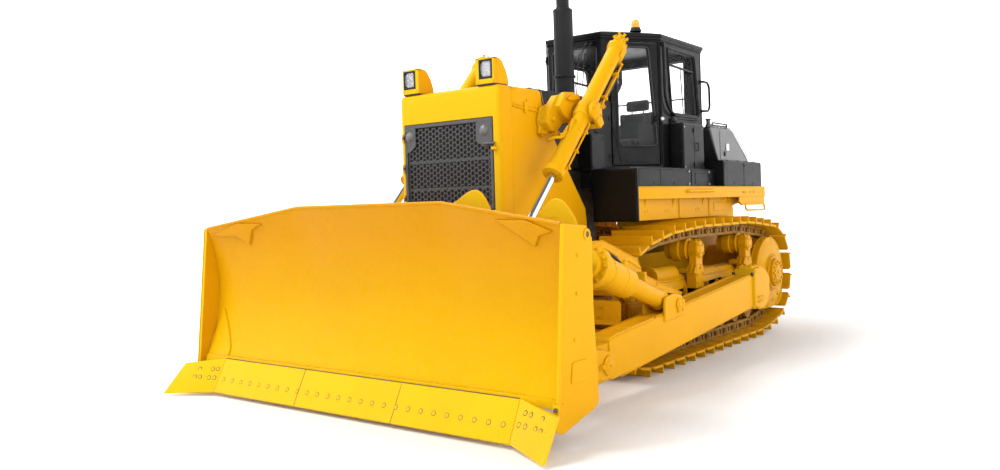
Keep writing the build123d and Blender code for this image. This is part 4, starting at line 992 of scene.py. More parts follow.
def pad(m, p, u, v, d, profile, n=32, e=4.0, close=True):
    """Rounded-square disc: profile rows of (distance along d, half width along u, half height along v)."""
    part = bmesh.new()
    rings = []
    for s, ru, rv in profile:
        if ru <= 0.01:
            rings.append([part.verts.new(p + d * (s * 0.001))])
            continue
        row = []
        for k in range(n):
            x, y = sq(2 * math.pi * (k + 0.5) / n, e)
            row.append(part.verts.new(p + (u * (x * ru) + v * (y * rv) + d * s) * 0.001))
        rings.append(row)
    for a, b in zip(rings, rings[1:]):
        for k in range(n):
            j = (k + 1) % n
            if len(b) == 1:
                part.faces.new((a[k], a[j], b[0]))
            else:
                part.faces.new((a[k], a[j], b[j], b[k]))
    if close:
        part.faces.new(list(reversed(rings[0])))
        if len(rings[-1]) > 1:
            part.faces.new(rings[-1])
    bmesh.ops.recalc_face_normals(part, faces=part.faces)
    return m.take(part)


X1, Z1 = Vector((1, 0, 0)), Vector((0, 0, 1))

# ------------------------------------------------------------------ radiator guard
m = Mesh()
m.slab_y([(2470, 2462), (2470, 2622), (2092, 2622), (2092, 2462)], 588, 594, 2.5)
m.slab_y([(2470, 2448), (2470, 2460), (1990, 2430), (1990, 2418)], 590, 604, 3)
m.slab_y([(2452, 2470), (2452, 2486), (2350, 2486), (2350, 2470)], 590, 600, 3)
m.prism([W(2318, 590, 2500), W(2258, 590, 2500), W(2270, 590, 2404), W(2302, 590, 2404)], (0, 20, 0), 5)
m.bolt(W(2262, 594, 2520), Y1, 9, 9)
m.bolt(W(2140, 594, 2474), Y1, 9, 9)
m.bolt(W(2440, 594, 2604), Y1, 8, 7)
m.bolt(W(2440, 594, 2480), Y1, 8, 7)
m.bolt(W(2112, 594, 2604), Y1, 8, 7)
# weld beads and the joint of the rear side plate
m.tube([W(2484, 590, 2632), W(2484, 590, 1180)], 2.6, 6, 1)
m.tube([W(2036, 590, 2620), W(1935, 590, 2300), W(1637, 590, 1916)], 3.2, 6, 1)
for z in (1250, 1450):
    for x in (2590, 2520):
        m.bolt(W(x, 590, z), Y1, 12, 10)
m.prism([W(2040, 590, 1180), W(2460, 590, 1180), W(2460, 590, 1330), W(2300, 590, 1460), W(2040, 590, 1460)], (0, 6, 0), 3)
for x, z in ((2080, 1210), (2420, 1210), (2420, 1310), (2080, 1430)):
    m.bolt(W(x, 596, z), Y1, 11, 9)
m.both()
# latch lug and its stop, on the left edge of the opening
m.box(2648, 2688, 514, 556, 2072, 2098, 6, 3)
m.box(2648, 2662, 520, 550, 2096, 2104, 3)
# fixed halves of the grille's hinges
for z in (1680, 1960, 2240):
    for a, b in ((-40, -15), (15, 40)):
        m.cyl(W(2668, -534, z + a), W(2668, -534, z + b), 10.5, 20, 2)
    m.box(2646, 2664, -562, -536, z - 38, z + 38, 3)
# the guard's own CAD surface, its edges broken
m.cad("radiator_guard", 3.5, 3)
m.put("vis_radiator_guard", yellow, "chassis", "yellow_paint", "radiator_guard", smooth=38)

# ------------------------------------------------------------------ grille: folded frame, plate with round holes, corner gussets, knobs, latch bar
m, kn = Mesh(), Mesh()
m.box(2622, 2656, -528, -500, 1566, 2354, 3)
m.box(2622, 2656, 480, 508, 1566, 2354, 3)
m.box(2622, 2656, -502, 482, 2324, 2354, 3)
m.box(2622, 2656, -502, 482, 1566, 1594, 3)
pz = 47.0
R = pz / math.sqrt(3)
cy = 1.5 * R
part = bmesh.new()
for i in range(26):
    y = -506 + i * cy
    if y > 494:
        break
    for j in range(18):
        z = 1578 + j * pz + (pz / 2 if i % 2 else 0)
        if z > 2344:
            continue
        rows = []
        for x, kind in ((2641, 0), (2641, 1), (2636, 1), (2636, 0)):
            row = []
            for k in range(12):
                a = math.pi * k / 6
                r = (R if k % 2 == 0 else R * math.cos(math.pi / 6)) if kind == 0 else 20.4
                row.append(part.verts.new(W(x, y + r * math.cos(a), z + r * math.sin(a))))
            rows.append(row)
        for a, b in zip(rows, rows[1:]):
            for k in range(12):
                part.faces.new((a[k], a[(k + 1) % 12], b[(k + 1) % 12], b[k]))
bmesh.ops.recalc_face_normals(part, faces=part.faces)
m.take(part)
m.slab_x([(482, 2328), (326, 2328), (322, 2158), (416, 2106), (482, 2106)], 2648, 2654, 2)
m.slab_x([(-502, 2328), (-392, 2328), (-396, 2158), (-470, 2106), (-502, 2106)], 2648, 2654, 2)
for y in (414, -466):
    kn.lathe(W(2653, y, 2248), X1, [(0, 46), (4, 46), (7, 41), (16, 35), (23, 24), (26.5, 10), (27, 0)], 40)
# latch bar with its bracket, stiffening strips, fasteners
m.cyl(W(2672, 424, 2130), W(2672, 548, 2128), 12, 24, 4)
m.box(2654, 2674, 432, 470, 2114, 2148, 4)
m.bolt(W(2674, 451, 2131), X1, 9, 6)
for z in (1760, 2010):
    m.box(2628, 2635, -502, 482, z - 12, z + 12, 2)
for z in (1640, 1860, 2080, 2290):
    m.bolt(W(2656, -515, z), X1, 7, 6)
    m.bolt(W(2656, 494, z if z != 2080 else 2060), X1, 7, 6)
for z in (1680, 1960, 2240):
    m.box(2655, 2662, -530, -500, z - 34, z + 34, 2)
    m.cyl(W(2668, -534, z - 14), W(2668, -534, z + 14), 10, 20, 2)
m.put("vis_grille_door", grille_grey, "grille", "grille", "grille_door", smooth=40)
kn.put("grille_knobs", knob_mat, "grille", "grille")
# near-black sheet just behind the grille's plate: painted shade seen through its holes
m = Mesh()
m.box(2623, 2625, -503, 483, 1580, 2340, 0.5)
m.put("grille_hole_painted_shade", core_black_and_painted_shade, "grille", "plastic")

m = Mesh()
for k in range(28):
    y = -486 + 36 * k
    m.cyl(W(2502, y, 1205), W(2502, y, 2470), 7, 8, 1)
for z in (1230, 1650, 2050, 2440):
    m.box(2496, 2508, -500, 500, z - 14, z + 14, 3)
m.cad("radiator_core", 4, 2)
m.put("vis_radiator_core", core_black_and_painted_shade, "chassis", "plastic", "radiator_core")

# ------------------------------------------------------------------ lamps on the guard
hm, bz, rf, ln, gap = Mesh(), Mesh(), Mesh(), Mesh(), Mesh()
side = [(2604, 2644), (2604, 2868), (2562, 2866), (2525, 2842), (2478, 2772), (2450, 2700), (2442, 2644)]
hm.slab_y(side, 338, 540, 5, 3)
hm.slab_y([(2600, 2866), (2651, 2868), (2651, 2854), (2600, 2852)], 338, 540, 2)
hm.box(2600, 2651, 338, 377, 2644, 2866, 3)
hm.box(2600, 2651, 523, 540, 2644, 2866, 3)
hm.box(2600, 2651, 374, 526, 2644, 2687, 3)
for y in (362, 526):
    hm.bolt(W(2651, y, 2664), X1, 8, 6)
hm.tube([W(2602, 541, 2646), W(2602, 541, 2864)], 1.6, 6, 1)
hm.both()
hm.put("vis_work_lamps", yellow, "chassis", "yellow_paint", "work_lamps", smooth=38)
for y0, y1, z0, z1 in ((377, 396, 2687, 2853), (507, 523, 2687, 2853), (396, 507, 2687, 2706), (396, 507, 2838, 2853)):
    bz.box(2626, 2655, y0, y1, z0, z1, 3)
bz.box(2606, 2628, 378, 522, 2688, 2852, 2)
bz.both()
bz.put("lamp_bezels", black_soft, "chassis", "plastic", smooth=38)
c = W(2630, 451, 2771)
pad(rf, c, Y1, Z1, X1, [(0, 55, 66), (3, 55, 66), (2, 44, 54), (-1, 20, 26)], 32, 4)
for j in range(-3, 4):
    for i in range(-2, 3):
        rf.lathe(W(2632, 451 + i * 20 + (5 if j % 2 else -5), 2771 + j * 17), X1, [(0, 9.5), (2.5, 8), (4, 4), (4.5, 0)], 10)
rf.both()
rf.put("lamp_reflectors", reflector, "chassis", "cylinder_rod")
pad(ln, W(2646, 451, 2771), Y1, Z1, X1, [(0, 55, 68), (4, 55, 68), (8, 49, 60), (11, 32, 40), (12, 12, 16), (12.2, 0, 0)], 40, 2.9)
ln.both()
ln.put("lamp_lenses", lens_mat, "chassis", "glass")
gap.box(2450, 2644, 343, 535, 2632, 2646, 2)
gap.both()
gap.put("lamp_feet", rubber, "chassis", "plastic")

# ------------------------------------------------------------------ hood and exhaust
m = Mesh()
# side doors with seams, louvres, handles and hinges; top ribs and filler covers
for x0, x1 in ((1660, 2010), (1290, 1650), (930, 1280), (600, 920)):
    m.box(x0, x1, 447, 455, 1960, 2600, 4, 3)
    for z in (2080, 2480):
        m.box(x0 + 8, x0 + 44, 453, 462, z - 26, z + 26, 4)
    m.box(x1 - 70, x1 - 30, 453, 464, 2250, 2330, 6, 3)
    m.cyl(W(x1 - 50, 462, 2290), W(x1 - 50, 470, 2290), 14, 20, 2)
    for k in range(7):
        if x1 in (1650, 1280):
            m.prism([W(x0 + 80, 453, 2400 + 24 * k), W(x0 + 80, 453, 2412 + 24 * k), W(x0 + 80, 465, 2400 + 24 * k)], (180, 0, 0), 1.5, 1)
for x in (1975, 1660, 1330, 960, 640):
    m.box(x, x + 26, -440, 440, 2668, 2676, 3)
m.box(590, 2030, -30, 30, 2667, 2675, 3)
for x, y in ((1780, 260), (1450, -250), (720, 250)):
    m.lathe(W(x, abs(y), 2668), Z1, [(0, 62), (8, 62), (14, 56), (30, 52), (34, 46), (34, 20), (40, 16)], 32)
for x in range(640, 2000, 170):
    m.bolt(W(x, 425, 2669), Z1, 9, 7)
m.both()
m.cad("hood", 16, 4)
m.put("vis_hood", black, "chassis", "black_paint", "hood", smooth=38)

m = Mesh()
up = lambda z: W(910, 100, z)
m.lathe(up(2686), Z1, [(0, 150), (10, 150), (14, 144), (14, 108), (30, 104)], 56)
for k in range(8):
    a = 2 * math.pi * k / 8
    m.bolt(W(910 + 130 * math.cos(a), 100 + 130 * math.sin(a), 2699), Z1, 10, 9)
m.lathe(up(2905), Z1, [(0, 102), (3, 108), (6, 116), (22, 116), (25, 108), (28, 102)], 56, close=False)
m.cyl(W(1026, 92, 2917), W(1026, 128, 2917), 7, 12, 1)
m.box(1018, 1034, 82, 94, 2907, 2927, 2)
m.box(1018, 1034, 122, 134, 2907, 2927, 2)
m.lathe(up(3596), Z1, [(0, 103), (10, 104), (22, 104), (32, 92), (38, 76), (40, 69)], 56, close=False)
m.lathe(up(3630), Z1, [(0, 68), (4, 73), (16, 73), (20, 68)], 48, close=False)
m.tube([W(910 + 103, 100, 2720), W(910 + 103, 100, 3590)], 2.2, 6, 1)
m.cad("exhaust_pipe", 2, 2)
m.put("vis_exhaust_pipe", exhaust_mat, "chassis", "exhaust", "exhaust_pipe", smooth=38)

# ------------------------------------------------------------------ outlines with round corners, plates with holes
def rounded(pts, radii, n=6):
    """Closed 2-D outline with its corners rounded."""
    out = []
    k = len(pts)
    if not isinstance(radii, (list, tuple)):
        radii = [radii] * k
    for i in range(k):
        b = Vector(pts[i]); a = Vector(pts[i - 1]); c = Vector(pts[(i + 1) % k])
        r = min(radii[i], (a - b).length * 0.45, (c - b).length * 0.45)
        if r < 1:
            out.append((b.x, b.y))
            continue
        s, e = b + (a - b).normalized() * r, b + (c - b).normalized() * r
        for j in range(n + 1):
            t = j / n
            q = s * (1 - t) ** 2 + b * 2 * t * (1 - t) + e * t * t
            out.append((q.x, q.y))
    return out


def plate(m, outer, holes, vec, bevel=2.0, seg=2):
    """Flat plate with holes: outlines as points, pushed along vec."""
    part = bmesh.new()
    loops, edges = [], []
    for pts in [outer] + holes:
        vs = [part.verts.new(p) for p in pts]
        edges += [part.edges.new((vs[i], vs[(i + 1) % len(vs)])) for i in range(len(vs))]
        loops.append(vs)
    r = bmesh.ops.triangle_fill(part, edges=edges, use_beauty=True, use_dissolve=False)
    faces = [g for g in r["geom"] if isinstance(g, bmesh.types.BMFace)]
    v = Vector(vec) * 0.001
    twin = {x: part.verts.new(x.co + v) for vs in loops for x in vs}
    for f in faces:
        part.faces.new([twin[x] for x in reversed(f.verts)])
    for vs in loops:
        for i in range(len(vs)):
            a, b = vs[i], vs[(i + 1) % len(vs)]
            part.faces.new((a, b, twin[b], twin[a]))
    bmesh.ops.recalc_face_normals(part, faces=part.faces)
    bmesh.ops.dissolve_limit(part, angle_limit=math.radians(0.5), verts=part.verts, edges=part.edges)
    return m.take(part, bevel, seg)


def loop_tube(m, pts, r, seg=10):
    a, b = pts[0], pts[1]
    mid = (a + b) * 0.5
    return m.tube([mid] + list(pts[1:]) + [pts[0], mid], r, seg, 1, cap=False)


CAB = [(565.0, 342.0), (0.0, 745.0), (-1060.0, 728.0)]
# ------------------------------------------------------------------ doors
DOOR = [(104, 1992), (660, 1992), (660, 3308), (104, 3308)]
PANE = rounded([(178, 2200), (634, 2200), (556, 3262), (178, 3262)], [70, 62, 36, 40], 7)
for s, tag in ((1, "left"), (-1, "right")):
    m = Mesh()
    plate(m, [F(t, -46, z) for t, z in DOOR], [[F(t, -46, z) for t, z in PANE]], face_out * 46, 5, 3)
    # skin's own raised rim round the pane, lower panel's pressing, seam at the lower front corner
    loop_tube(m, [F(t, 1, z) for t, z in rounded([(158, 2180), (656, 2180), (574, 3282), (158, 3282)], [80, 70, 40, 44], 7)], 3.5, 8)
    m.tube([F(104, 1, 2404), F(203, 1, 1992)], 3.2, 8, 1)
    m.tube([F(112, 1, 2404), F(211, 1, 1992)], 1.6, 6, 1)
    face_box(m, 250, 610, -1, 3, 2020, 2120, 2)
    for t in (262, 430, 598):
        m.bolt(F(t, 3, 2034), face_out, 6, 4)
    # hinge leaves and knuckles
    for z in (2150, 2700, 3200):
        face_box(m, 104, 146, -1, 9, z - 38, z + 38, 2)
        face_box(m, 97, 108, 8, 19, z - 38, z + 38, 2)
        m.cyl(F(97, 17, z - 44), F(97, 17, z + 44), 12, 24, 2)
        m.lathe(F(97, 17, z + 44), Z1, [(0, 8), (5, 8), (7, 4)], 16)
        for dz in (-24, 0, 24):
            m.bolt(F(128, 9, z + dz), face_out, 7, 5)
    # handle with its escutcheon, lock body on the inside
    face_box(m, 606, 652, -1, 9, 2452, 2528, 4, 3)
    m.bend([F(618, 8, 2466), F(618, 40, 2470), F(618, 40, 2512), F(618, 8, 2516)], 8, 16, 10)
    m.lathe(F(640, 8, 2490), face_out, [(0, 13), (6, 13), (8, 10), (8, 3)], 24)
    face_box(m, 590, 655, -58, -44, 2430, 2540, 5)
    # bracket inside the front edge with a long slot
    plate(m, [F(t, -58, z) for t, z in ((170, 3262), (262, 3262), (262, 2868), (240, 2818), (196, 2742), (170, 2742))],
          [[F(t, -58, z) for t, z in rounded([(186, 2864), (214, 2864), (214, 3002), (186, 3002)], 12, 3)]], face_out * 8, 2)
    if s < 0:
        m.flip()
    m.put("vis_door_" + tag, black, body_of["door_" + tag], "black_paint", "door_" + tag, smooth=38)
    m = Mesh()
    loop_tube(m, [F(t, -1, z) for t, z in PANE], 9, 12)
    loop_tube(m, [F(t, -44, z) for t, z in PANE], 7, 8)
    for z in (2060, 3280):
        face_box(m, 108, 656, -50, -45, z, z + 10, 2)
    if s < 0:
        m.flip()
    m.put("door_rubber_" + tag, rubber, body_of["door_" + tag], "plastic")
    m = Mesh()
    c = sum((Vector(p) for p in PANE), Vector((0, 0))) / len(PANE)
    grown = [c + (Vector(p) - c) * 1.006 for p in PANE]
    m.prism([F(p.x, -28, p.y) for p in grown], tuple(face_out * 5), 1.2, 1)
    if s < 0:
        m.flip()
    m.put("vis_door_glass_" + tag, pane_mat, body_of["door_" + tag], "glass", "door_glass_" + tag)

# ------------------------------------------------------------------ cab frame, roof, panes
m = Mesh()
SIDE = [(-200, 3262), (-826, 3256), (-912, 2580), (-262, 2576)]
side_r = rounded(SIDE, [34, 60, 50, 60], 7)
side_o = rounded([(-150, 3300), (-866, 3296), (-965, 2520), (-225, 2505)], [40, 70, 60, 90], 8)
plate(m, [W(x, 722, z) for x, z in side_o], [[W(x, 722, z) for x, z in side_r]], (0, 26, 0), 6, 3)
loop_tube(m, [W(x, 749, z) for x, z in rounded([(-172, 3280), (-846, 3276), (-940, 2550), (-244, 2542)], [36, 64, 54, 74], 8)], 9, 10)
# bar across the side window, its sliding pane's divider and catches
m.prism([W(-195, 716, 3121), W(-835, 716, 3093), W(-838, 716, 3069), W(-197, 716, 3097)], (0, 24, 0), 4)
m.prism([W(-536, 708, 3082), W(-549, 708, 3082), W(-603, 708, 2582), W(-590, 708, 2582)], (0, 9, 0), 2)
m.box(-218, -196, 738, 760, 2800, 2856, 4)
m.box(-890, -868, 738, 756, 2780, 2830, 4)
# side-window stay and latch box under its front corner
m.cyl(W(-205, 748, 2486), W(-300, 748, 2486), 26, 20, 4)
m.cyl(W(-236, 748, 2486), W(-262, 748, 2486), 33, 20, 4)
m.box(-330, -196, 738, 762, 2440, 2516, 8, 3)
for x in (-214, -312):
    m.bolt(W(x, 762, 2452), Y1, 9, 7)
# pillar's rib behind the door and a seam below the window
m.cyl(F(690, 5, 2000), F(690, 5, 3300), 9, 12, 1)
m.tube([W(-20, 746, 2440), W(-1040, 730, 2424)], 2.4, 6, 1)
m.tube([W(-1048, 729, 1960), W(-1048, 729, 3330)], 5, 8, 1)
# latch post with a bright knob
face_box(m, 668, 698, 0, 16, 2440, 2530, 4)
for t, z in ((60, 2050), (60, 2600), (60, 3150)):
    m.bolt(F(t, 0, z), face_out, 9, 7)
for t, z in ((18, 3290), (80, 3290)):
    m.bolt(F(t, 0, z), face_out, 8, 6)
# door-way rubber seat, drip rail
face_box(m, 96, 668, -60, -52, 3300, 3312, 3)
m.tube([F(0, 6, 3338), F(690, 6, 3338)], 7, 8, 1)
m.tube([W(0, 748, 3338), W(-1060, 733, 3338)], 7, 8, 1)
# lower corner plates, vent grille low on the side
m.slab_y([(-950, 2300), (-700, 2300), (-700, 2180), (-950, 2180)], 735, 742, 3)
for k in range(6):
    m.box(-935, -715, 741, 747, 2196 + 16 * k, 2202 + 16 * k, 1.5, 1)
m.both()
# windscreen surround, wiper motor boxes; rear window surround with a guard rail
ws = rounded([(-285, 2240), (285, 2240), (285, 3262), (-285, 3262)], 46, 6)
plate(m, [W(562, y, z) for y, z in rounded([(-318, 2205), (318, 2205), (318, 3296), (-318, 3296)], 60, 6)], [[W(562, y, z) for y, z in ws]], (8, 0, 0), 3, 2)
for y in (178, 234):
    m.box(566, 592, y - 22, y + 22, 3292, 3326, 5, 3)
rw = rounded([(-520, 2560), (520, 2560), (520, 3260), (-520, 3260)], 50, 6)
plate(m, [W(-1068, y, z) for y, z in rounded([(-556, 2524), (556, 2524), (556, 3296), (-556, 3296)], 70, 6)], [[W(-1068, y, z) for y, z in rw]], (9, 0, 0), 3, 2)
m.tube([W(-1040, -640, 2812), W(-1040, 640, 2812)], 9, 10, 1)
m.cad("cab_frame", 7, 2, flat=0)
m.put("vis_cab_frame", black, "chassis", "black_paint", "cab_frame", smooth=38)

m = Mesh()
for s in (1, -1):
    q = Mesh()
    q.lathe(F(683, 14, 2487), face_out, [(0, 12), (10, 12), (12, 20), (24, 20), (28, 14), (28, 6)], 20)
    q.tube([F(683, 30, 2487), F(712, 34, 2487)], 6, 8, 1)
    if s < 0:
        q.flip()
    me = unit(q)
    stamp(m, me, Matrix.Identity(4))
m.put("latch_knobs", bolt_mat, "chassis", "cylinder_rod")

# rubbers and wipers
m = Mesh()
loop_tube(m, [W(x, 716, z) for x, z in side_r], 9, 10)
m.both()
loop_tube(m, [W(569, y, z) for y, z in ws], 9, 10)
loop_tube(m, [W(-1066, y, z) for y, z in rw], 9, 10)
for (y0, z0), (y1, z1) in (((178, 3300), (42, 3059)), ((234, 3296), (112, 3038))):
    m.cyl(W(590, y0, z0), W(602, y0, z0), 13, 16, 2)
    m.tube([W(600, y0, z0), W(592, (y0 * 2 + y1) / 3, (z0 * 2 + z1) / 3), W(580, y1, z1)], 5.5, 8, 5)
    m.tube([W(597, y0 - 16, z0 - 4), W(583, y1 - 8, z1 + 40)], 3.5, 8, 1)
    m.prism([W(574, y1 - 12, z1 - 190), W(582, y1 - 12, z1 - 190), W(582, y1 + 30, z1 + 170), W(574, y1 + 30, z1 + 170)], (0, 9, 0), 2)
m.put("cab_rubbers", rubber, "chassis", "plastic", smooth=38)


def cut(pts, lo, hi):
    """Grows an outline about its middle so that its edge sits in the rubber."""
    c = sum((Vector(p) for p in pts), Vector((0, 0))) / len(pts)
    return [tuple(c + (Vector(p) - c) * 1.008) for p in pts]


m = Mesh()
m.slab_y(cut(side_r, 0, 0), 708, 713, 1.2, 1)
m.both()
m.slab_x(cut(ws, 0, 0), 541, 546, 1.2, 1)
m.slab_x(cut(rw, 0, 0), -1050, -1045, 1.2, 1)
m.put("vis_cab_glass", pane_mat, "chassis", "glass", "cab_glass")


def hexa(inset):
    plan = CAB + [(x, -y) for x, y in reversed(CAB)]
    out = []
    n = len(plan)
    for i in range(n):
        (ax_, ay), (bx, by), (cx, cy_) = plan[i - 1], plan[i], plan[(i + 1) % n]
        e1, e2 = ((bx - ax_), (by - ay)), ((cx - bx), (cy_ - by))
        l1, l2 = math.hypot(*e1), math.hypot(*e2)
        n1, n2 = (-e1[1] / l1, e1[0] / l1), (-e2[1] / l2, e2[0] / l2)
        k = inset / (1 + n1[0] * n2[0] + n1[1] * n2[1])
        out.append((bx + k * (n1[0] + n2[0]), by + k * (n1[1] + n2[1])))
    return out


m = Mesh()
# lifting eyes, hatch, ribs, gutter bolts
for x, y in ((-20, 420), (-860, 420)):
    for s in (1, -1):
        m.box(x - 34, x + 34, s * y - 24, s * y + 24, 3452, 3468, 4)
        m.ring(W(x, s * y - 9, 3484), Y1, 13, 28, 18, 24, 3)
        m.bolt(W(x - 24, s * y + 14, 3468), Z1, 7, 5)
        m.bolt(W(x + 24, s * y - 14, 3468), Z1, 7, 5)
m.slab_z(rounded([(-760, -260), (-300, -260), (-300, 260), (-760, 260)], 50, 5), 3458, 3476, 5, 3)
for y in (-180, 180):
    m.box(-300, -262, y - 20, y + 20, 3462, 3474, 3)
for x in range(-980, 0, 160):
    for s in (1, -1):
        m.bolt(W(x, s * 750, 3358), Y1 * s, 6, 4)
for y in range(-280, 281, 112):
    m.bolt(W(578, y, 3358), X1, 6, 4)
for k in range(5):
    a = hexa(-27)[0:2]
    t = 0.12 + 0.19 * k
    p = W(a[0][0] * (1 - t) + a[1][0] * t, a[0][1] * (1 - t) + a[1][1] * t, 3380)
    m.bolt(p, face_out, 6, 4)
m.cad("cab_roof", 7, 3)
m.put("vis_cab_roof", black, "chassis", "black_paint", "cab_roof", smooth=38)

# beacon: black foot and cage ring, ribbed amber dome
m = Mesh()
b0 = W(71, 492, 3462)
m.lathe(b0, Z1, [(0, 66), (8, 66), (12, 60), (34, 56), (40, 50)], 40)
m.put("beacon_foot", black_soft, "chassis", "plastic")
m = Mesh()
prof = [(38, 46), (44, 50), (58, 50), (62, 47), (72, 49), (76, 46), (86, 48), (92, 45), (106, 43), (118, 38), (126, 29), (131, 16), (132.5, 0)]
m.lathe(b0, Z1, prof, 40)
m.put("vis_beacon", amber, "chassis", "lamp_amber", "beacon", smooth=30)

# ------------------------------------------------------------------ seat: cushions filled and pressed out as cloth, with seams
def soft_block(name, pts, y0, y1, pressure, voxel, cap_mm, edge=26.0):
    """A sewn cushion: rounded block, blown up as cloth held at nothing but its own stretch, its moves capped."""
    q = Mesh()
    q.prism([W(x, y0, z) for x, z in pts], (0, y1 - y0, 0), edge, 4)
    me = bpy.data.meshes.new(name)
    q.bm.to_mesh(me)
    q.bm.free()
    ob = bpy.data.objects.new(name, me)
    bpy.context.scene.collection.objects.link(ob)
    rm = ob.modifiers.new("remesh", "REMESH")
    rm.mode = "VOXEL"
    rm.voxel_size = voxel
    bpy.context.view_layer.update()
    dg = bpy.context.evaluated_depsgraph_get()
    even = bpy.data.meshes.new_from_object(ob.evaluated_get(dg))
    ob.modifiers.clear()
    ob.data = even
    c = ob.modifiers.new("cloth", "CLOTH")
    st = c.settings
    st.quality = 6
    st.mass = 0.25
    st.tension_stiffness = st.compression_stiffness = 18
    st.shear_stiffness = 8
    st.bending_stiffness = 1.2
    st.use_pressure = True
    st.uniform_pressure_force = pressure
    st.effector_weights.gravity = 0
    c.collision_settings.use_collision = False
    scene = bpy.context.scene
    for f in range(1, 13):
        scene.frame_set(f)
    dg = bpy.context.evaluated_depsgraph_get()
    blown = bpy.data.meshes.new_from_object(ob.evaluated_get(dg))
    ob.modifiers.clear()
    cap = cap_mm * 0.001
    for a, b in zip(even.vertices, blown.vertices):
        d = b.co - a.co
        if d.length > cap:
            b.co = a.co + d.normalized() * cap
    ob.data = blown
    scene.frame_set(1)
    return ob


def channels(ob, lines, depth, width, axis):
    """Presses stitched grooves into the faces: lines are values along axis in metres."""
    for v in ob.data.vertices:
        x = v.co[axis]
        for l in lines:
            g = math.exp(-((x - l) / width) ** 2)
            if g > 0.02:
                v.co -= v.normal * (depth * g)


def finish_soft(ob, name, fill, *nodes):
    me = ob.data
    me.materials.clear()
    me.materials.append(seat_mat)
    me.polygons.foreach_set("use_smooth", [True] * len(me.polygons))
    sub = ob.modifiers.new("sub", "SUBSURF")
    sub.levels = sub.render_levels = 1
    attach(ob, "chassis")
    if nodes:
        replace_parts(ob, *nodes)
    pieces[name] = ob
    return ob


cushion = soft_block("seat_cushion", [(-752, 2210), (-268, 2226), (-246, 2270), (-258, 2314), (-716, 2310)], -250, 250, 3.5, 0.013, 12)
channels(cushion, [-0.150, 0.150], 0.007, 0.010, 1)
channels(cushion, [(-420 + SX) * 0.001, (-580 + SX) * 0.001], 0.006, 0.010, 0)
finish_soft(cushion, "seat_cushion", 0.6, "operator_seat")
back = soft_block("seat_back", [(-842, 2322), (-712, 2322), (-756, 2676), (-856, 2676)], -240, 240, 3.5, 0.013, 12)
channels(back, [-0.145, 0.145], 0.007, 0.010, 1)
channels(back, [2.430, 2.560], 0.006, 0.011, 2)
finish_soft(back, "seat_back", 0.6)
head = soft_block("seat_headrest", [(-856, 2694), (-772, 2694), (-782, 2824), (-856, 2824)], -152, 152, 3.0, 0.012, 9, 30)
channels(head, [0.0], 0.004, 0.008, 1)
finish_soft(head, "seat_headrest", 0.6)
m = Mesh()
# shell, posts, arm rests, belt
for y in (-80, 80):
    m.cyl(W(-812, y, 2640), W(-816, y, 2720), 8, 12, 1)
m.slab_y([(-872, 2300), (-852, 2300), (-878, 2670), (-888, 2670)], -232, 232, 6, 2)
m.slab_y([(-756, 2196), (-262, 2196), (-262, 2214), (-756, 2206)], -240, 240, 4, 2)
for s in (1, -1):
    m.slab_y([(-800, 2490), (-470, 2500), (-448, 2518), (-458, 2544), (-800, 2548)], s * 296 - 28, s * 296 + 28, 12, 4)
    m.prism([W(-830, s * 258 - 10, 2440), W(-780, s * 258 - 10, 2440), W(-780, s * 258 - 10, 2540), W(-830, s * 258 - 10, 2540)], (0, 20, 0), 4)
    m.tube([W(-700, s * 250, 2336), W(-560, s * 230, 2344), W(-430, s * 150, 2344), W(-400, s * 40, 2342)], 9, 8, 6, flat=0.3)
m.box(-420, -384, -34, 34, 2336, 2354, 6)
m.put("seat_shell", plastic, "chassis", "plastic", smooth=38)

# consoles, levers, dash with dials, pedals, floor mat
m = Mesh()
for s in (1, -1):
    m.box(-690, -210, s * 445 - 105, s * 445 + 105, 2476, 2492, 8, 3)
    m.box(-640, -320, s * 445 - 80, s * 445 + 80, 2490, 2496, 2)
    for k in range(5):
        m.box(-620 + 60 * k, -586 + 60 * k, s * 445 - 66, s * 445 - 36, 2495, 2502, 2)
    m.lathe(W(-251, s * 440, 2486), Z1, [(0, 34), (6, 40), (14, 34), (22, 20), (26, 10)], 24)
    m.tube([W(-251, s * 440, 2500), W(-253, s * 440, 2540), W(-251, s * 440, 2566)], 8, 10, 5)
    m.lathe(W(-251, s * 440, 2556), Z1, [(0, 9), (6, 16), (14, 26), (24, 32), (34, 32), (40, 26), (43, 0)], 24)
for y in (-180, -90, 0, 90, 180):
    m.lathe(W(385, y, 2656), Vector((-0.55, 0, 0.83)), [(0, 34), (8, 36), (14, 34), (14, 28), (10, 27)], 28)
m.box(300, 500, -262, 262, 2646, 2660, 6)
for y in (-160, 0, 160):
    m.prism([W(240, y - 42, 2040), W(300, y - 42, 2120), W(312, y - 42, 2112), W(252, y - 42, 2032)], (0, 84, 0), 4)
    m.cyl(W(300, y, 2100), W(380, y, 2060), 10, 10, 2)
m.box(-260, 380, -300, 300, 1980, 1992, 4)
for k in range(14):
    m.box(-240 + 44 * k, -222 + 44 * k, -290, 290, 1991, 1995, 1, 1)
for k in range(4):
    m.box(-712, -292, -208, 208, 2104 + 22 * k, 2114 + 22 * k, 4)
m.cad("control_console", 18, 4)
m.put("vis_control_console", plastic, "chassis", "plastic", "control_console", smooth=40)

# ------------------------------------------------------------------ platform, ledges, side boxes
m = Mesh()
# ledge: rounded top edge that catches the light, tread strips
m.cyl(W(-758, 996, 1924), W(1196, 996, 1924), 9, 14, 2)
for k in range(16):
    m.box(-740 + 120 * k, -640 + 120 * k, 680, 960, 1927, 1931, 1.5, 1)
for x in (1150, 700, 250):
    m.bolt(W(x, 1000, 1780), Y1, 8, 6)
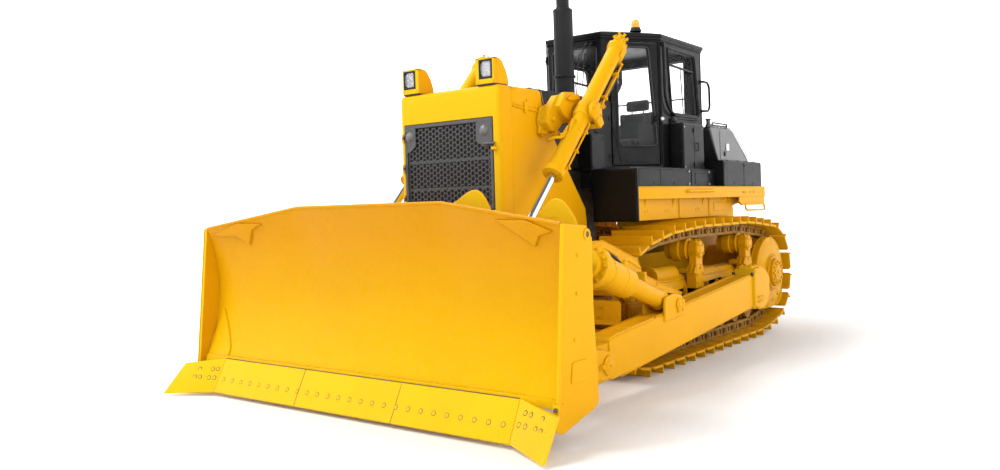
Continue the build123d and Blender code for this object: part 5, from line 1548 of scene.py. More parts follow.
# blank plate between four bright bolts, which are built further down; seams between the panels
for x in (1010, 560, -150, -560):
    m.tube([W(x, 1001, 1748), W(x, 1001, 1920)], 1.8, 6, 1)
m.box(-560, -160, 998, 1004, 1756, 1912, 2)
m.slab_y(rounded([(-520, 1772), (-236, 1772), (-236, 1890), (-520, 1890)], 12, 3), 1003, 1008, 1.5, 1)
for k in range(9):
    m.box(-505 + 30 * k, -487 + 30 * k, 1007, 1011, 1880, 1888, 1, 1)
# side box: door panel, hinges, bolts and a handle
m.box(-660, -162, 916, 923, 1925, 2434, 4, 2)
m.box(-655, -412, 921, 926, 1940, 2424, 3, 2)
m.box(-150, -144, 762, 906, 1930, 2434, 3)
for z in (1990, 2370):
    m.box(-430, -396, 924, 934, z - 26, z + 26, 3)
m.bend([W(-470, 924, 2150), W(-470, 946, 2150), W(-470, 946, 2230), W(-470, 924, 2230)], 6, 14)
for y in (785, 885):
    for z in (1980, 2130, 2280, 2405):
        m.bolt(W(-144, y, z), X1, 8, 6)
# front plates and the panels beside the hood
m.box(1220, 1228, 610, 1085, 1420, 1900, 4)
for y in (640, 850, 1060):
    for z in (1440, 1660, 1880):
        m.bolt(W(1228, y, z), X1, 10, 7)
m.box(985, 1216, 598, 605, 1912, 2270, 4, 2)
m.box(1218, 1226, 462, 594, 1912, 2270, 4, 2)
for z in (1950, 2230):
    for x in (1010, 1190):
        m.bolt(W(x, 605, z), Y1, 8, 6)
m.tube([W(-640, 1001, 1935), W(1180, 1001, 1935)], 2.4, 6, 1)
m.both()
m.cad("platform", 8, 3)
m.put("vis_platform", black, "chassis", "black_paint", "platform", smooth=38)
m = Mesh()
for x, z in ((-100, 1905), (-100, 1768), (-610, 1905), (-610, 1768)):
    m.lathe(W(x, 1001, z), Y1, [(0, 13), (3, 13), (4, 12)], 16)
    m.bolt(W(x, 1004, z), Y1, 9.5, 7, washer=False)
for x, z in ((-180, 1960), (-180, 2400), (-640, 1960), (-640, 2400)):
    m.bolt(W(x, 923, z), Y1, 7, 5)
m.both()
m.put("bright_bolts", bolt_mat, "chassis", "cylinder_rod")

# ------------------------------------------------------------------ decks over the tracks
m = Mesh()
# grab bar under the deck's edge, lip bolts, wall bolts, rear step loop, gussets
m.bend([W(227, 1131, 1690), W(227, 1156, 1690), W(-394, 1156, 1690), W(-394, 1131, 1690)], 12, 26, 14)
m.slab_y([(245, 1706), (245, 1676), (-412, 1676), (-412, 1706)], 1128, 1134, 2)
for x in (-1240, -1300, -1455, -1500, -1640, -1760, -1880):
    m.lathe(W(x, 1130, 1672), Y1, [(0, 12), (3, 12), (4, 10)], 14)
m.bend([W(-1330, 1122, 1532), W(-1330, 1136, 1458), W(-1926, 1136, 1452), W(-1926, 1122, 1530)], 13, 34, 12)
m.prism([W(-1162, 1104, 1542), W(-1951, 1104, 1532), W(-1951, 1104, 1512), W(-1240, 1104, 1516)], (0, 26, 0), 3)
for x0, z0 in ((-300, 1500), (-240, 1620), (60, 1640), (420, 1500), (480, 1640), (800, 1640), (860, 1500), (1040, 1610), (-700, 1640), (-760, 1500), (-980, 1600), (-1500, 1620), (-1700, 1640), (-1820, 1580)):
    m.lathe(W(x0, 1005, z0), Y1, [(0, 14), (4, 14), (6, 11)], 14)
    m.lathe(W(x0 + 60, 1005, z0 - 8), Y1, [(0, 14), (4, 14), (6, 11)], 14)
for x in (-1100, -420, 300, 900):
    m.prism([W(x, 1004, 1710), W(x, 1004, 1520), W(x, 1040, 1700), W(x, 1060, 1712)], (14, 0, 0), 3)
m.prism([W(-620, 1004, 1420), W(-560, 1004, 1420), W(-560, 1004, 1712), W(-620, 1004, 1712)], (0, 12, 0), 3)
m.prism([W(120, 1004, 1420), W(180, 1004, 1420), W(180, 1004, 1712), W(120, 1004, 1712)], (0, 12, 0), 3)
m.slab_y([(-1120, 1470), (-700, 1470), (-700, 1560), (-1120, 1560)], 1004, 1012, 3)
m.tube([W(1180, 1042, 1738), W(202, 1131, 1738), W(-1960, 1131, 1738)], 3.5, 8, 1)
for k in range(11):
    m.box(-1900 + 80 * k, -1850 + 80 * k, 640, 1080, 1734, 1738, 1.2, 1)
m.tube([W(-1950, 1128, 1618), W(-1200, 1128, 1618)], 3.2, 8, 1)
m.both()
m.cad("fenders", 6, 3)
m.put("vis_fenders", yellow, "chassis", "yellow_paint", "fenders", smooth=38)
m = Mesh()
# dark discs in the deck's lip: painted shade of its slots
for x in (-1262, -1322, -1470, -1580):
    m.lathe(W(x, 1130.5, 1672), Y1, [(0, 8), (4.5, 8), (5, 7)], 12)
m.both()
m.put("deck_lip_slot_painted_shade", black_soft, "chassis", "plastic")

# ------------------------------------------------------------------ rear boxes
m = Mesh()
for x0, x1 in ((-1918, -1372), (-1358, -792)):
    m.box(x0, x1, 1098, 1104, 1746, 2024, 3, 2)
m.box(-1922, -788, 768, 1092, 2032, 2040, 5, 2)
for x in (-1700, -1480, -1240, -930):
    m.box(x - 30, x + 30, 1070, 1098, 2036, 2044, 3)
for x, z in ((-1890, 1990), (-1400, 1990), (-1330, 1990), (-820, 1990), (-1640, 1780), (-1080, 1780)):
    m.lathe(W(x, 1104, z), Y1, [(0, 11), (3, 11), (4, 9), (2, 5)], 14)
for y in (800, 930, 1060):
    m.bolt(W(-782, y, 2000), X1, 7, 5)
m.box(-1930, -1924, 780, 1080, 1760, 2010, 3)
m.both()
m.cad("rear_boxes", 7, 3)
m.put("vis_rear_boxes", black, "chassis", "black_paint", "rear_boxes", smooth=38)

# ------------------------------------------------------------------ tank
m = Mesh()
# pressed side plate, straps, filler with its post, lock, blank plate, gauge, weld beads
side = [(-930, 2100), (-930, 2400), (-1500, 2420), (-1560, 2400), (-1950, 2112), (-1980, 2064), (-1980, 2058), (-1110, 2058)]
m.prism([W(-1160, 898, 2066), W(-1965, 898, 2066), W(-1550, 898, 2392), (W(-1488, 898, 2414)), W(-1160, 898, 2412)], (0, 6, 0), 3)
m.slab_y(rounded([(-1420, 2170), (-1320, 2170), (-1320, 2270), (-1420, 2270)], 8, 3), 903, 908, 1.5)
m.lathe(W(-1290, 903, 2150), Y1, [(0, 22), (8, 22), (12, 18), (12, 8), (18, 6)], 24)
m.prism([W(-1276, 903, 2110), W(-1304, 903, 2110), W(-1300, 903, 2132), W(-1280, 903, 2132)], (0, 16, 0), 3)
m.tube([W(-905, 902, 2450), W(-1500, 902, 2452), W(-1562, 902, 2430), W(-1990, 902, 2120)], 5, 8, 1)
m.cyl(W(-968, 846, 2440), W(-968, 846, 2476), 36, 24, 4)
m.cyl(W(-968, 846, 2474), W(-968, 846, 2524), 24, 24, 3)
m.cyl(W(-968, 846, 2522), W(-968, 846, 2544), 34, 24, 6)
m.cyl(W(-930, 846, 2500), W(-1006, 846, 2500), 8, 12, 1)
m.tube([W(-1012, 846, 2500), W(-1030, 846, 2480), W(-1030, 846, 2452)], 6, 8, 4)
m.bend([W(-1060, 860, 2449), W(-1060, 860, 2474), W(-1452, 860, 2474), W(-1452, 860, 2449)], 10, 16, 12)
for x in (-1100, -1200, -1300, -1400):
    m.box(x - 14, x + 14, 850, 870, 2446, 2470, 3)
m.prism([W(-1436, 856, 2470), W(-1470, 856, 2470), W(-1458, 856, 2516)], (0, 10, 0), 2)
for y in (560, 300):
    m.prism([W(-900, y, 2449), W(-1500, y, 2451), W(-1562, y, 2431), W(-1990, y, 2119), W(-1990, y, 2113), W(-1562, y, 2425), W(-1500, y, 2445), W(-900, y, 2443)], (0, 40, 0), 2)
for y in (620, 780):
    m.bolt(W(-878, y, 2350), X1, 9, 7)
m.both()
m.lathe(W(-1300, -200, 2446), Z1, [(0, 92), (10, 92), (16, 84), (16, 62), (44, 62), (52, 54), (52, 10), (58, 8)], 40)
m.cad("fuel_tank", 24, 5)
m.put("vis_fuel_tank", tank_black_painted_reflection, "chassis", "black_paint", "fuel_tank", smooth=38)
m = Mesh()
m.slab_y(rounded([(-1412, 2178), (-1328, 2178), (-1328, 2262), (-1412, 2262)], 6, 3), 907, 909.5, 0.8, 1)
m.both()
m.put("tank_plate", metal("blank_plate", (0.62, 0.64, 0.62), 0.4, 0.3, amount=0.25, scale=30), "chassis", "cylinder_rod")

# ------------------------------------------------------------------ grab bars
m = Mesh()
m.bend([W(*p) for p in ((-1030, 731, 2994), (-1040, 764, 2994), (-1150, 768, 2988), (-1192, 768, 2930), (-1192, 768, 2705), (-1150, 768, 2652), (-1040, 764, 2646), (-1030, 731, 2646))], 14, 46, 14)
m.bend([W(*p) for p in ((-30, 746, 3312), (-30, 770, 3312), (-34, 772, 3100), (-42, 772, 2718), (-130, 776, 2590), (-250, 776, 2545), (-262, 742, 2545))], 17, 90, 16)
for p, d in (((-1032, 730, 2994), Y1), ((-1032, 730, 2646), Y1), ((-30, 744, 3312), Y1), ((-262, 742, 2545), Y1)):
    m.lathe(W(*p), d, [(0, 27), (6, 27), (8, 24), (8, 17)], 24)
m.cyl(W(-30, 752, 3300), W(-30, 790, 3300), 26, 24, 5)
m.bend([W(*p) for p in ((-1000, 880, 2449), (-1000, 880, 2497), (-1420, 880, 2497), (-1420, 880, 2449))], 9, 30, 12)
m.both()
m.put("vis_handrails", black, "chassis", "black_paint", "handrails", smooth=50)

blade_paint_with_painted_shade = paint("blade_paint_with_painted_shade", (0.69, 0.398, 0.002), 0.27, 0.03, (0.45, 0.30, 0.10), vary=0.02, coat=0.0, spec=0.14, tint=GOLD)
# painted shade: the blade's colour darker and more orange towards its top, where the face tips down away from the
# light, and full strength at its foot
bnt = blade_paint_with_painted_shade.node_tree
bsdf = next(n for n in bnt.nodes if n.type == "BSDF_PRINCIPLED")
src = bsdf.inputs["Base Color"].links[0].from_socket
btc = bnt.nodes.new("ShaderNodeTexCoord")
bz_ = bnt.nodes.new("ShaderNodeSeparateXYZ")
bnt.links.new(btc.outputs["Object"], bz_.inputs[0])
painted_top_shade = ramp(bnt, math_node(bnt, "DIVIDE", bz_.outputs[2], 1.7, True), [(0.16, (1.0, 1.0, 1.0)), (0.36, (0.93, 0.86, 1.0)), (0.56, (0.83, 0.71, 1.0)), (0.82, (0.77, 0.58, 1.0))])
mul = bnt.nodes.new("ShaderNodeVectorMath")
mul.operation = "MULTIPLY"
bnt.links.new(src, mul.inputs[0])
bnt.links.new(painted_top_shade.outputs[0], mul.inputs[1])
bnt.links.new(mul.outputs[0], bsdf.inputs["Base Color"])

# ------------------------------------------------------------------ blade's face
def arc3(p, q, r):
    """Points on the circle through three (x, z) points, by share 0 to 1 from p to r."""
    (ax, ay), (bx, by), (cx, cy_) = p, q, r
    dd = 2 * (ax * (by - cy_) + bx * (cy_ - ay) + cx * (ay - by))
    ux = ((ax * ax + ay * ay) * (by - cy_) + (bx * bx + by * by) * (cy_ - ay) + (cx * cx + cy_ * cy_) * (ay - by)) / dd
    uy = ((ax * ax + ay * ay) * (cx - bx) + (bx * bx + by * by) * (ax - cx) + (cx * cx + cy_ * cy_) * (bx - ax)) / dd
    rad = math.hypot(ax - ux, ay - uy)
    a0, a1 = math.atan2(ay - uy, ax - ux), math.atan2(cy_ - uy, cx - ux)
    am = math.atan2(by - uy, bx - ux)
    while a1 < a0:
        a1 += 2 * math.pi
    while am < a0:
        am += 2 * math.pi
    if am > a1:
        a1 -= 2 * math.pi
    return lambda t: (ux + rad * math.cos(a0 + (a1 - a0) * t), uy + rad * math.sin(a0 + (a1 - a0) * t))


FACE_MID = arc3((3688.0, 1630.0), (3596.0, 945.0), (3836.0, 264.0))
FACE_END = arc3((3797.0, 1466.0), (3686.0, 930.0), (3840.0, 264.0))


def face_xz(y, t):
    k = max(0.0, (abs(y) - 822.0) / (1958.0 - 822.0))
    a, b = FACE_MID(t), FACE_END(t)
    return a[0] * (1 - k) + b[0] * k, a[1] * (1 - k) + b[1] * k


def face_x(y, z):
    """Where the blade's face is at a height."""
    lo, hi = 0.0, 1.0
    for _ in range(30):
        mid = (lo + hi) / 2
        if face_xz(y, mid)[1] > z:
            lo = mid
        else:
            hi = mid
    return face_xz(y, (lo + hi) / 2)[0]


def on_face(m, yz, lift, thick, bevel=3.0, seg=2):
    """Plate lying on the blade's face, outline in (y, z)."""
    part = bmesh.new()
    pts = []
    k = len(yz)
    for i in range(k):
        (ya, za), (yb, zb) = yz[i], yz[(i + 1) % k]
        n = max(1, int(math.hypot(yb - ya, zb - za) / 60))
        for j in range(n):
            t = j / n
            pts.append((ya + (yb - ya) * t, za + (zb - za) * t))
    front = [part.verts.new(W(face_x(y, z) + lift + thick, y, z)) for y, z in pts]
    rear = [part.verts.new(W(face_x(y, z) + lift, y, z)) for y, z in pts]
    n = len(pts)
    es = [part.edges.new((front[i], front[(i + 1) % n])) for i in range(n)]
    bmesh.ops.triangle_fill(part, edges=es, use_beauty=True)
    for i in range(n):
        part.faces.new((front[i], rear[i], rear[(i + 1) % n], front[(i + 1) % n]))
    bmesh.ops.recalc_face_normals(part, faces=part.faces)
    # normals of an open part: make the front face look forwards
    fr = [f for f in part.faces if all(v in front for v in f.verts)]
    if fr and fr[0].normal.x < 0:
        bmesh.ops.reverse_faces(part, faces=part.faces)
    return m.take(part, bevel, seg, 35)


m = Mesh()
part = bmesh.new()
ys = [-1958 + (1958 - 822) * i / 12 for i in range(12)] + [-822 + 1644 * i / 16 for i in range(17)] + [822 + (1958 - 822) * i / 12 for i in range(1, 13)]
NT = 36
front, rear = [], []
for y in ys:
    front.append([part.verts.new(W(face_xz(y, j / NT)[0], y, face_xz(y, j / NT)[1])) for j in range(NT + 1)])
    rear.append([part.verts.new(W(face_xz(y, j / NT)[0] - 30, y, face_xz(y, j / NT)[1] - 5)) for j in range(NT + 1)])
for a in range(len(ys) - 1):
    for j in range(NT):
        part.faces.new((front[a][j], front[a + 1][j], front[a + 1][j + 1], front[a][j + 1]))
        part.faces.new((rear[a][j], rear[a][j + 1], rear[a + 1][j + 1], rear[a + 1][j]))
    part.faces.new((front[a][0], rear[a][0], rear[a + 1][0], front[a + 1][0]))
    part.faces.new((front[a][NT], front[a + 1][NT], rear[a + 1][NT], rear[a][NT]))
for a, rev in ((0, False), (len(ys) - 1, True)):
    for j in range(NT):
        f = (front[a][j], front[a][j + 1], rear[a][j + 1], rear[a][j])
        part.faces.new(tuple(reversed(f)) if rev else f)
bmesh.ops.recalc_face_normals(part, faces=part.faces)
m.take(part)
# rolled top rim, gussets at the upper corners, wear plates low at the ends
rim = [W(face_xz(y, 0)[0] - 14, y, face_xz(y, 0)[1] - 4) for y in (-1958, -1400, -822, 0, 822, 1400, 1958)]
m.tube(rim, 15, 12, 1)
on_face(m, [(-1924, 1399), (-1544, 1506), (-1250, 1499), (-1390, 1442), (-1462, 1310), (-1591, 1382)], -4, 24, 9, 3)
on_face(m, [(1372, 1496), (1664, 1492), (1888, 1414), (1758, 1381), (1707, 1311), (1558, 1392)], -4, 24, 9, 3)
on_face(m, [(-1956, 470), (-1862, 730), (-1660, 392), (-1655, 270), (-1956, 270)], -4, 20, 6)
on_face(m, [(1956, 470), (1862, 730), (1660, 392), (1655, 270), (1956, 270)], -4, 20, 6)
# strip above the cutting edge that holds it
m.prism([W(3853, -1955, 268), W(3836, -1955, 330), (W(3812, -1955, 330)), W(3820, -1955, 268)], (0, 3910, 0), 3)
m.put("vis_moldboard", blade_paint_with_painted_shade, "blade", "yellow_paint", "moldboard", smooth=44)

# ------------------------------------------------------------------ blade's frame
m = Mesh()
# weld beads along the beams, drain holes, stiffeners, lifting eyes, pipe clips; pins' heads and keepers
for z in (1404, 1116):
    m.tube([W(3546, -1955, z), W(3546, 1955, z)], 5, 6, 1)
for z in (604, 296):
    m.tube([W(3616, -1955, z), W(3616, 1955, z)], 5, 6, 1)
for s in (1, -1):
    for y in (150, 430, 640, 860, 1160, 1530, 1840):
        m.prism([W(3446, s * y - 8, 604), W(3446, s * y - 8, 760), W(3580, s * y - 8, 604)], (0, 16, 0), 3)
        m.prism([W(3446, s * y - 8, 1116), W(3446, s * y - 8, 980), W(3540, s * y - 8, 1116)], (0, 16, 0), 3)
    m.box(3430, 3441, s * 1500 - 260, s * 1500 + 260, 1150, 1370, 4)
    m.box(3430, 3441, s * 860 - 180, s * 860 + 180, 330, 570, 4)
    for y in (1280, 1720):
        for z in (1180, 1340):
            m.bolt(W(3430, s * y, z), -X1, 13, 9)
    # side plate: its edge bar, round hole, hook and bolts for the end bit
    m.slab_y([(3800, 1462), (3856, 820), (3908, 240), (3890, 240), (3838, 820), (3782, 1462)], *((1986, 1996) if s > 0 else (-1996, -1986)), 3)
    m.ring(W(3520, s * 1986, 1385), Y1 * s, 22, 40, 8, 28, 2)
    m.slab_y(rounded([(3560, 420), (3760, 420), (3740, 560), (3560, 560)], 24, 4), *((1986, 1994) if s > 0 else (-1994, -1986)), 3)
    for x, z in ((3700, 700), (3660, 1000), (3640, 1250)):
        m.bolt(W(x, s * 1986, z), Y1 * s, 12, 9)
    m.prism([W(3470, s * 1250 - 12, 1400), W(3540, s * 1250 - 12, 1400), W(3530, s * 1250 - 12, 1460), W(3500, s * 1250 - 12, 1482), W(3474, s * 1250 - 12, 1460)], (0, 24, 0), 5)
m.slab_y([(3858, 318), (3908, 318), (3920, 242), (3872, 242)], 1940, 1998, 5)
for outline in ([(751, 1390), (1100, 1390), (1100, 1562), (1082, 1606), (1050, 1658), (1018, 1690), (985, 1704), (945, 1704), (890, 1684), (800, 1632), (751, 1594)],
                [(1541, 1390), (1858, 1390), (1858, 1462), (1832, 1510), (1790, 1570), (1752, 1606), (1712, 1620), (1676, 1616), (1640, 1594), (1590, 1548), (1541, 1500)]):
    m.tube([W(3454, y, z) for y, z in outline[1:] + outline[:1]], 12, 10, 4)
for y0, z0 in ((880, 1560), (925, 1566), (970, 1560), (1660, 1500), (1700, 1504)):
    m.box(3465, 3469, y0 - 16, y0 + 16, z0 - 2, z0 + 2, 0.8, 1)
m.cad("blade_frame", 6, 3)
m.put("vis_blade_frame", yellow, "blade", "yellow_paint", "blade_frame", smooth=38)

m = Mesh()
for px, pz, yo, yi, r in ((2790, 355, 1680, 1340, 76), (3300, 740, 1005, 715, 60), (3300, 1290, 1737, 1323, 62)):
    m.lathe(W(px, yo, pz), Y1, [(0, r), (10, r), (15, r - 6), (15, r * 0.55), (20, r * 0.5)], 40)
    m.lathe(W(px, yi, pz), -Y1, [(0, r), (8, r), (12, r - 6)], 40)
    m.prism([W(px + r * 0.4, yo, pz - 20), W(px + r + 52, yo, pz - 20), W(px + r + 52, yo, pz + 20), W(px + r * 0.4, yo, pz + 20)], (0, 14, 0), 4)
    m.bolt(W(px + r + 30, yo + 14, pz), Y1, 12, 10)
    m.lathe(W(px, yo + 20, pz), Y1, [(0, 9), (8, 7), (12, 4)], 12)
m.both()
m.cad("blade_ears", 7, 3)
m.put("vis_blade_ears", yellow, "blade", "yellow_paint", "blade_ears", smooth=38)

# ------------------------------------------------------------------ cutting edge and end bits with their plough bolts
m, seams_and_shade_mesh = Mesh(), Mesh()
en = Vector((0.894, 0, 0.449)).normalized()
# dark disc in each side plate's round hole: painted shade of the hole
for s in (1, -1):
    seams_and_shade_mesh.lathe(W(3520, s * 1987, 1385), Y1 * s, [(-1, 20), (3, 20), (3.2, 0)], 24)
for k in range(26):
    y = -1562 + 124.64 * k
    p = W(3932.6, y, 146.5)
    m.lathe(p - en * 0.0015, en, [(0, 15.5), (3.2, 15.5), (4.2, 13.0)], 20)
    # dark disc round each plough bolt: painted shade of its recessed hole
    seams_and_shade_mesh.lathe(p - en * 0.0015, en, [(0, 20), (2.0, 20), (2.2, 18)], 24)
for y in (-546, 546):
    seams_and_shade_mesh.prism([W(3852, y - 1.5, 312), W(3989, y - 1.5, 39), W(3980, y - 1.5, 34), W(3846, y - 1.5, 304)], (0, 3, 0), 0.4, 1)
# dark strip along the cutting edge's top: painted shadow under the step up to the moldboard
seams_and_shade_mesh.prism([W(3850.6, -1634, 314.4), W(3853.4, -1634, 308.0), W(3846, -1634, 306), W(3843, -1634, 312)], (0, 3268, 0), 0.6, 1)
m.cad("cutting_edge", 3.5, 3)
m.put("vis_cutting_edge", yellow_edge, "blade", "edge_steel", "cutting_edge", smooth=38)

m = Mesh()
left = [(3930, 1730, 240), (3951, 1789, 240), (3986, 1911, 236), (3951, 1695, 164), (3984, 1766, 169), (4028, 1875, 174), (4045, 1931, 172)]
right_h = [(3984, -1851, 219), (3937, -1726, 222), (3913, -1678, 223), (4039, -1864, 156), (4016, -1816, 156), (3974, -1729, 152), (3949, -1680, 152)]


def bit_x(y, z):
    """Front face of the end bit: corners blended."""
    t = (abs(y) - 1640) / (2037 - 1640)
    for _ in range(8):
        top = (3849 + t * (4000 - 3849), 1640 + t * (2037 - 1640), 313 + t * (261 - 313))
        low = (3986 + t * (4208 - 3986), 1640 + t * (2065 - 1640), 40 + t * (20 - 40))
        k = (top[2] - z) / (top[2] - low[2])
        yy = top[1] + k * (low[1] - top[1])
        t += (abs(y) - yy) / 400.0
    return top[0] + k * (low[0] - top[0])


for pts in (left, right_h):
    for x, y, z in pts:
        s = 1 if y > 0 else -1
        n = Vector((0.80, -0.30 * s, 0.42)).normalized()
        p = W(bit_x(y, z), y, z)
        m.lathe(p - n * 0.0035, n, [(0, 15), (5.0, 15), (6.2, 12.5)], 20)
        # dark disc round each end-bit bolt: painted shade of its recessed hole
        seams_and_shade_mesh.lathe(p - n * 0.0035, n, [(0, 20.5), (4.2, 20.5), (4.6, 18)], 24)
m.cad("end_bits", 3.5, 3)
m.put("vis_end_bits", yellow_edge, "blade", "edge_steel", "end_bits", smooth=38)
# one more dark disc by the end bit: painted shade of a hole
seams_and_shade_mesh.lathe(W(3921, 1969, 284), Vector((0.96, 0, 0.2)), [(-8, 15), (1.5, 15), (2, 12)], 20)
seams_and_shade_mesh.put("edge_seams_and_painted_shade", seams_and_painted_shade, "blade", "edge_steel")

# ------------------------------------------------------------------ main frame, rear case, drawbar, engine, studs
m = Mesh()
for s in (1, -1):
    for x in range(-1300, 2300, 240):
        m.box(x, x + 60, s * 455 - 3, s * 455 + 3, 500, 512, 1.5, 1)
m.cad("main_frame", 6, 2)
m.put("vis_main_frame", yellow_low, "chassis", "yellow_paint", "main_frame")

m = Mesh()
bx = -2330
m.slab_x(rounded([(-360, 620), (360, 620), (360, 1120), (-360, 1120)], 90, 8), bx - 1, bx - 16, 4)
for k in range(14):
    a = 2 * math.pi * (k + 0.5) / 14
    y, z = sq(a, 6)
    m.bolt(W(bx - 16, y * 330, 870 + z * 222), -X1, 14, 11)
m.lathe(W(bx, 0, 1380), -X1, [(0, 170), (14, 170), (20, 162), (20, 90), (34, 84), (34, 40), (42, 34)], 48)
for k in range(10):
    a = 2 * math.pi * k / 10
    m.bolt(W(bx - 16, 146 * math.cos(a), 1380 + 146 * math.sin(a)), -X1, 12, 10)
for s in (1, -1):
    m.box(bx - 14, bx + 2, s * 470 - 60, s * 470 + 60, 560, 1640, 6)
    for z in range(620, 1640, 140):
        m.bolt(W(bx - 14, s * 470, z), -X1, 14, 11)
    m.bend([W(bx, s * 250, 1600), W(bx - 70, s * 250, 1600), W(bx - 70, s * 60, 1600), W(bx, s * 60, 1600)], 12, 26, 12)
    m.prism([W(bx + 40, s * 555 - 6, 900), W(bx + 240, s * 555 - 6, 900), W(bx + 240, s * 555 - 6, 1500), W(bx + 40, s * 555 - 6, 1400)], (0, 12, 0), 5)
m.cad("rear_case", 16, 4)
m.put("vis_rear_case", yellow, "chassis", "yellow_paint", "rear_case", smooth=38)

m = Mesh()
m.cad("drawbar", 8, 3)
m.put("vis_drawbar", yellow_low, "chassis", "yellow_paint", "drawbar", smooth=38)

m = Mesh()
m.cad("engine_block", 14, 3)
m.put("vis_engine_block", engine_mat, "chassis", "engine", "engine_block", smooth=38)

m = Mesh().cad("trunnion_balls", 3, 2)
m.put("vis_trunnion_balls", yellow_low, "trunnions", "yellow_paint", "trunnion_balls", smooth=50)

m = Mesh()
fc = W(910, 100, 3766)
m.ring(fc + Z1 * 0.002, Z1, 50, 79, 8, 40, 2)
m.prism([W(812, 88, 3776), W(880, 88, 3776), W(880, 88, 3781), W(812, 88, 3786)], (0, 24, 0), 2)
m.cyl(W(810, 74, 3778), W(810, 126, 3778), 8, 16, 1)
m.cad("exhaust_flap", 2, 2)
m.put("vis_exhaust_flap", exhaust_mat, "rain_flap", "exhaust", "exhaust_flap", smooth=38)
# ------------------------------------------------------------------ CAD nodes as they are, with broken edges
plain = [
    ("sprockets", yellow_low, "roller_steel", 3), ("final_drives", yellow_low, "yellow_paint", 5), ("idlers", yellow_low, "yellow_paint", 5),
    ("track_rollers", yellow_low, "roller_steel", 3), ("carrier_rollers", yellow_low, "yellow_paint", 4), ("track_frames", yellow_low, "yellow_paint", 4),
    ("main_frame", yellow_low, "yellow_paint", 4), ("rear_case", yellow, "yellow_paint", 10), ("drawbar", yellow, "yellow_paint", 3),
    ("engine_block", engine_mat, "engine", 12), ("radiator_guard", yellow, "yellow_paint", 3), ("radiator_core", core_black_and_painted_shade, "plastic", 3),
    ("grille_door", grille_grey, "grille", 2), ("work_lamps", yellow, "yellow_paint", 4), ("hood", black, "black_paint", 8),
    ("exhaust_pipe", exhaust_mat, "exhaust", 2), ("exhaust_flap", exhaust_mat, "exhaust", 2), ("cab_frame", black, "black_paint", 4),
    ("cab_roof", black, "black_paint", 8), ("door_left", black, "black_paint", 3), ("door_right", black, "black_paint", 3),
    ("operator_seat", seat_mat, "seat", 20), ("control_console", plastic, "plastic", 12), ("platform", black, "black_paint", 5),
    ("fenders", yellow, "yellow_paint", 4), ("rear_boxes", black, "black_paint", 6), ("fuel_tank", black, "black_paint", 14),
    ("handrails", black, "black_paint", 0), ("beacon", amber, "lamp_amber", 4), ("lift_barrel_left", yellow, "yellow_paint", 3),
    ("lift_barrel_right", yellow, "yellow_paint", 3), ("lift_rod_left", chrome, "cylinder_rod", 2), ("lift_rod_right", chrome, "cylinder_rod", 2),
    ("lift_yokes", yellow, "yellow_paint", 4), ("push_arm_left", yellow, "yellow_paint", 6), ("push_arm_right", yellow, "yellow_paint", 6),
    ("trunnion_balls", yellow_low, "yellow_paint", 3), ("tilt_barrel", yellow, "yellow_paint", 3), ("tilt_rod", chrome, "cylinder_rod", 3),
    ("tilt_brace", yellow, "yellow_paint", 4), ("moldboard", yellow, "yellow_paint", 3), ("blade_frame", yellow, "yellow_paint", 4),
    ("cutting_edge", yellow_edge, "edge_steel", 3), ("end_bits", yellow_edge, "edge_steel", 3),
    ("track_left", yellow_track, "track_steel", 0), ("track_right", yellow_track, "track_steel", 0),
    ("cab_glass", pane_mat, "glass", 0), ("door_glass_left", pane_mat, "glass", 0), ("door_glass_right", pane_mat, "glass", 0),
]
taken = {n for o in pieces.values() for n in o.get("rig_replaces", [])}
for node, mat, slot, bev in plain:
    if node not in taken:
        skin(node, mat, slot, bev)

# ------------------------------------------------------------------ floor, light, camera
fm, fnt, fb = new_mat("floor")
ftc = fnt.nodes.new("ShaderNodeTexCoord")
fn = noise_node(fnt, ftc.outputs["Object"], 0.6, 3)
fnt.links.new(ramp(fnt, fn.outputs["Fac"], [(0.3, (0.83, 0.83, 0.83)), (0.7, (0.86, 0.86, 0.86))]).outputs[0], fb.inputs["Base Color"])
fb.inputs["Roughness"].default_value = 0.8
fb.inputs["Specular IOR Level"].default_value = 0.1
fb.inputs["Emission Color"].default_value = (1, 1, 1, 1)
# painted shadow: the floor glows only away from the machine, so it stays darker round its footprint; far out only the
# half of the backdrop behind the machine glows
def vec(op, *ins):
    n = fnt.nodes.new("ShaderNodeVectorMath")
    n.operation = op
    for i, v in enumerate(ins):
        if isinstance(v, tuple):
            n.inputs[i].default_value = v
        else:
            fnt.links.new(v, n.inputs[i])
    return n.outputs["Value"] if op in ("LENGTH", "DOT_PRODUCT") else n.outputs[0]


def span(fac, a, b, c, d):
    n = fnt.nodes.new("ShaderNodeMapRange")
    n.interpolation_type = "SMOOTHSTEP"
    for i, v in enumerate((a, b, c, d)):
        n.inputs[i + 1].default_value = v
    fnt.links.new(fac, n.inputs[0])
    return n.outputs[0]


flat_v = vec("MULTIPLY", ftc.outputs["Object"], (1, 1, 0))
away = vec("LENGTH", vec("MAXIMUM", vec("SUBTRACT", vec("ABSOLUTE", flat_v), (3.1, 1.75, 0)), (0, 0, 0)))
sector = span(vec("DOT_PRODUCT", vec("NORMALIZE", flat_v), (-0.985, -0.174, 0)), -0.10, 0.26, 0.0, 1.0)
# no glow close to the machine: a painted shadow round it
ring_glow_around_painted_shadow = span(away, 0.35, 1.9, 0.0, 0.44)
far_glow = math_node(fnt, "MULTIPLY", span(away, 1.5, 8.0, 0.0, 0.55), sector)
fnt.links.new(math_node(fnt, "ADD", ring_glow_around_painted_shadow, far_glow), fb.inputs["Emission Strength"])
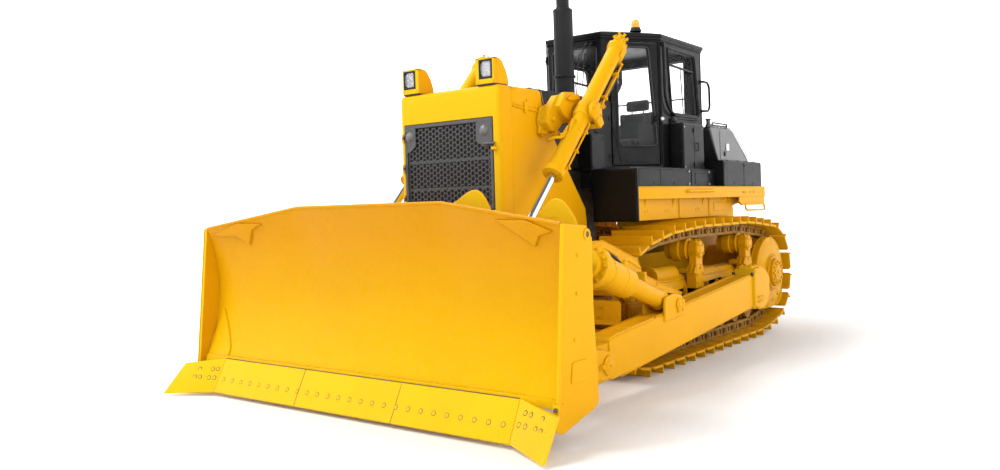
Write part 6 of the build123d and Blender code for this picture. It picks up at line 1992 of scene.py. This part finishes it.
# floor that curves up into a plain wall all round, far from the machine
fbm = bmesh.new()
prof = [(0.0, 0.0), (9.0, 0.0), (14.0, 0.0), (18.0, 0.25), (22.0, 1.1), (25.5, 2.9), (28.0, 5.6), (29.3, 9.0), (29.8, 14.0), (29.8, 34.0)]
rings = []
for r, z in prof:
    rings.append([fbm.verts.new((0, 0, z))] if r == 0 else [fbm.verts.new((r * math.cos(2 * math.pi * k / 96), r * math.sin(2 * math.pi * k / 96), z)) for k in range(96)])
for ra, rb in zip(rings, rings[1:]):
    for k in range(96):
        j = (k + 1) % 96
        if len(ra) == 1:
            fbm.faces.new((ra[0], rb[k], rb[j]))
        else:
            fbm.faces.new((ra[k], rb[k], rb[j], ra[j]))
bmesh.ops.recalc_face_normals(fbm, faces=fbm.faces)
if sum(f.normal.z for f in fbm.faces) < 0:
    bmesh.ops.reverse_faces(fbm, faces=fbm.faces)
fme = bpy.data.meshes.new("floor")
fbm.to_mesh(fme)
fbm.free()
fme.polygons.foreach_set("use_smooth", [True] * len(fme.polygons))
fme.materials.append(fm)
floor = bpy.data.objects.new("floor", fme)
floor.location = (0, 0, -0.001)
bpy.context.scene.collection.objects.link(floor)

world = bpy.data.worlds.new("studio")
bpy.context.scene.world = world
world.use_nodes = True
bg = world.node_tree.nodes["Background"]
bg.inputs[0].default_value = (1.0, 1.0, 1.0, 1)
bg.inputs[1].default_value = 0.19


def area(name, loc, target, size, size_y, power, col=(1, 1, 1)):
    l = bpy.data.lights.new(name, "AREA")
    l.shape = "RECTANGLE"
    l.size, l.size_y, l.energy, l.color = size, size_y, power, col
    o = bpy.data.objects.new(name, l)
    o.location = loc
    o.rotation_euler = (Vector(target) - Vector(loc)).to_track_quat("-Z", "Y").to_euler()
    bpy.context.scene.collection.objects.link(o)
    return o


area("key", (8.0, -4.0, 10.0), (1.0, 0, 1.0), 4.0, 3.5, 800, (1, 0.995, 0.98))
area("top", (-0.5, -4.2, 10.5), (0, 0, 0.5), 7, 4.5, 520)
area("fill", (3.0, 11.0, 2.8), (0, 1.0, 1.2), 6, 2.4, 195, (0.99, 0.995, 1))

cam = bpy.data.cameras.new("camera")
co = bpy.data.objects.new("camera", cam)
bpy.context.scene.collection.objects.link(co)
bpy.context.scene.camera = co
yaw, pitch, roll = math.radians(36.11), math.radians(0.26), math.radians(-1.71)
d = Vector((-math.cos(yaw) * math.cos(pitch), -math.sin(yaw) * math.cos(pitch), -math.sin(pitch)))
r = Vector((-math.sin(yaw), math.cos(yaw), 0))
u = r.cross(d)
c, s = math.cos(roll), math.sin(roll)
right, up = c * r + s * u, -s * r + c * u
mat = Matrix((right, up, -d)).transposed().to_4x4()
mat.translation = W(8337.2, 5074.6, 1587.7)
co.matrix_world = mat
cam.sensor_width = 36.0
cam.lens = 853.27 * 36 / 1000
cam.shift_x = (500 - 534.37) / 1000
cam.shift_y = (209.31 - 235) / 1000
cam.clip_end = 200
bpy.context.scene.view_settings.view_transform = "Standard"

bpy.context.view_layer.update()
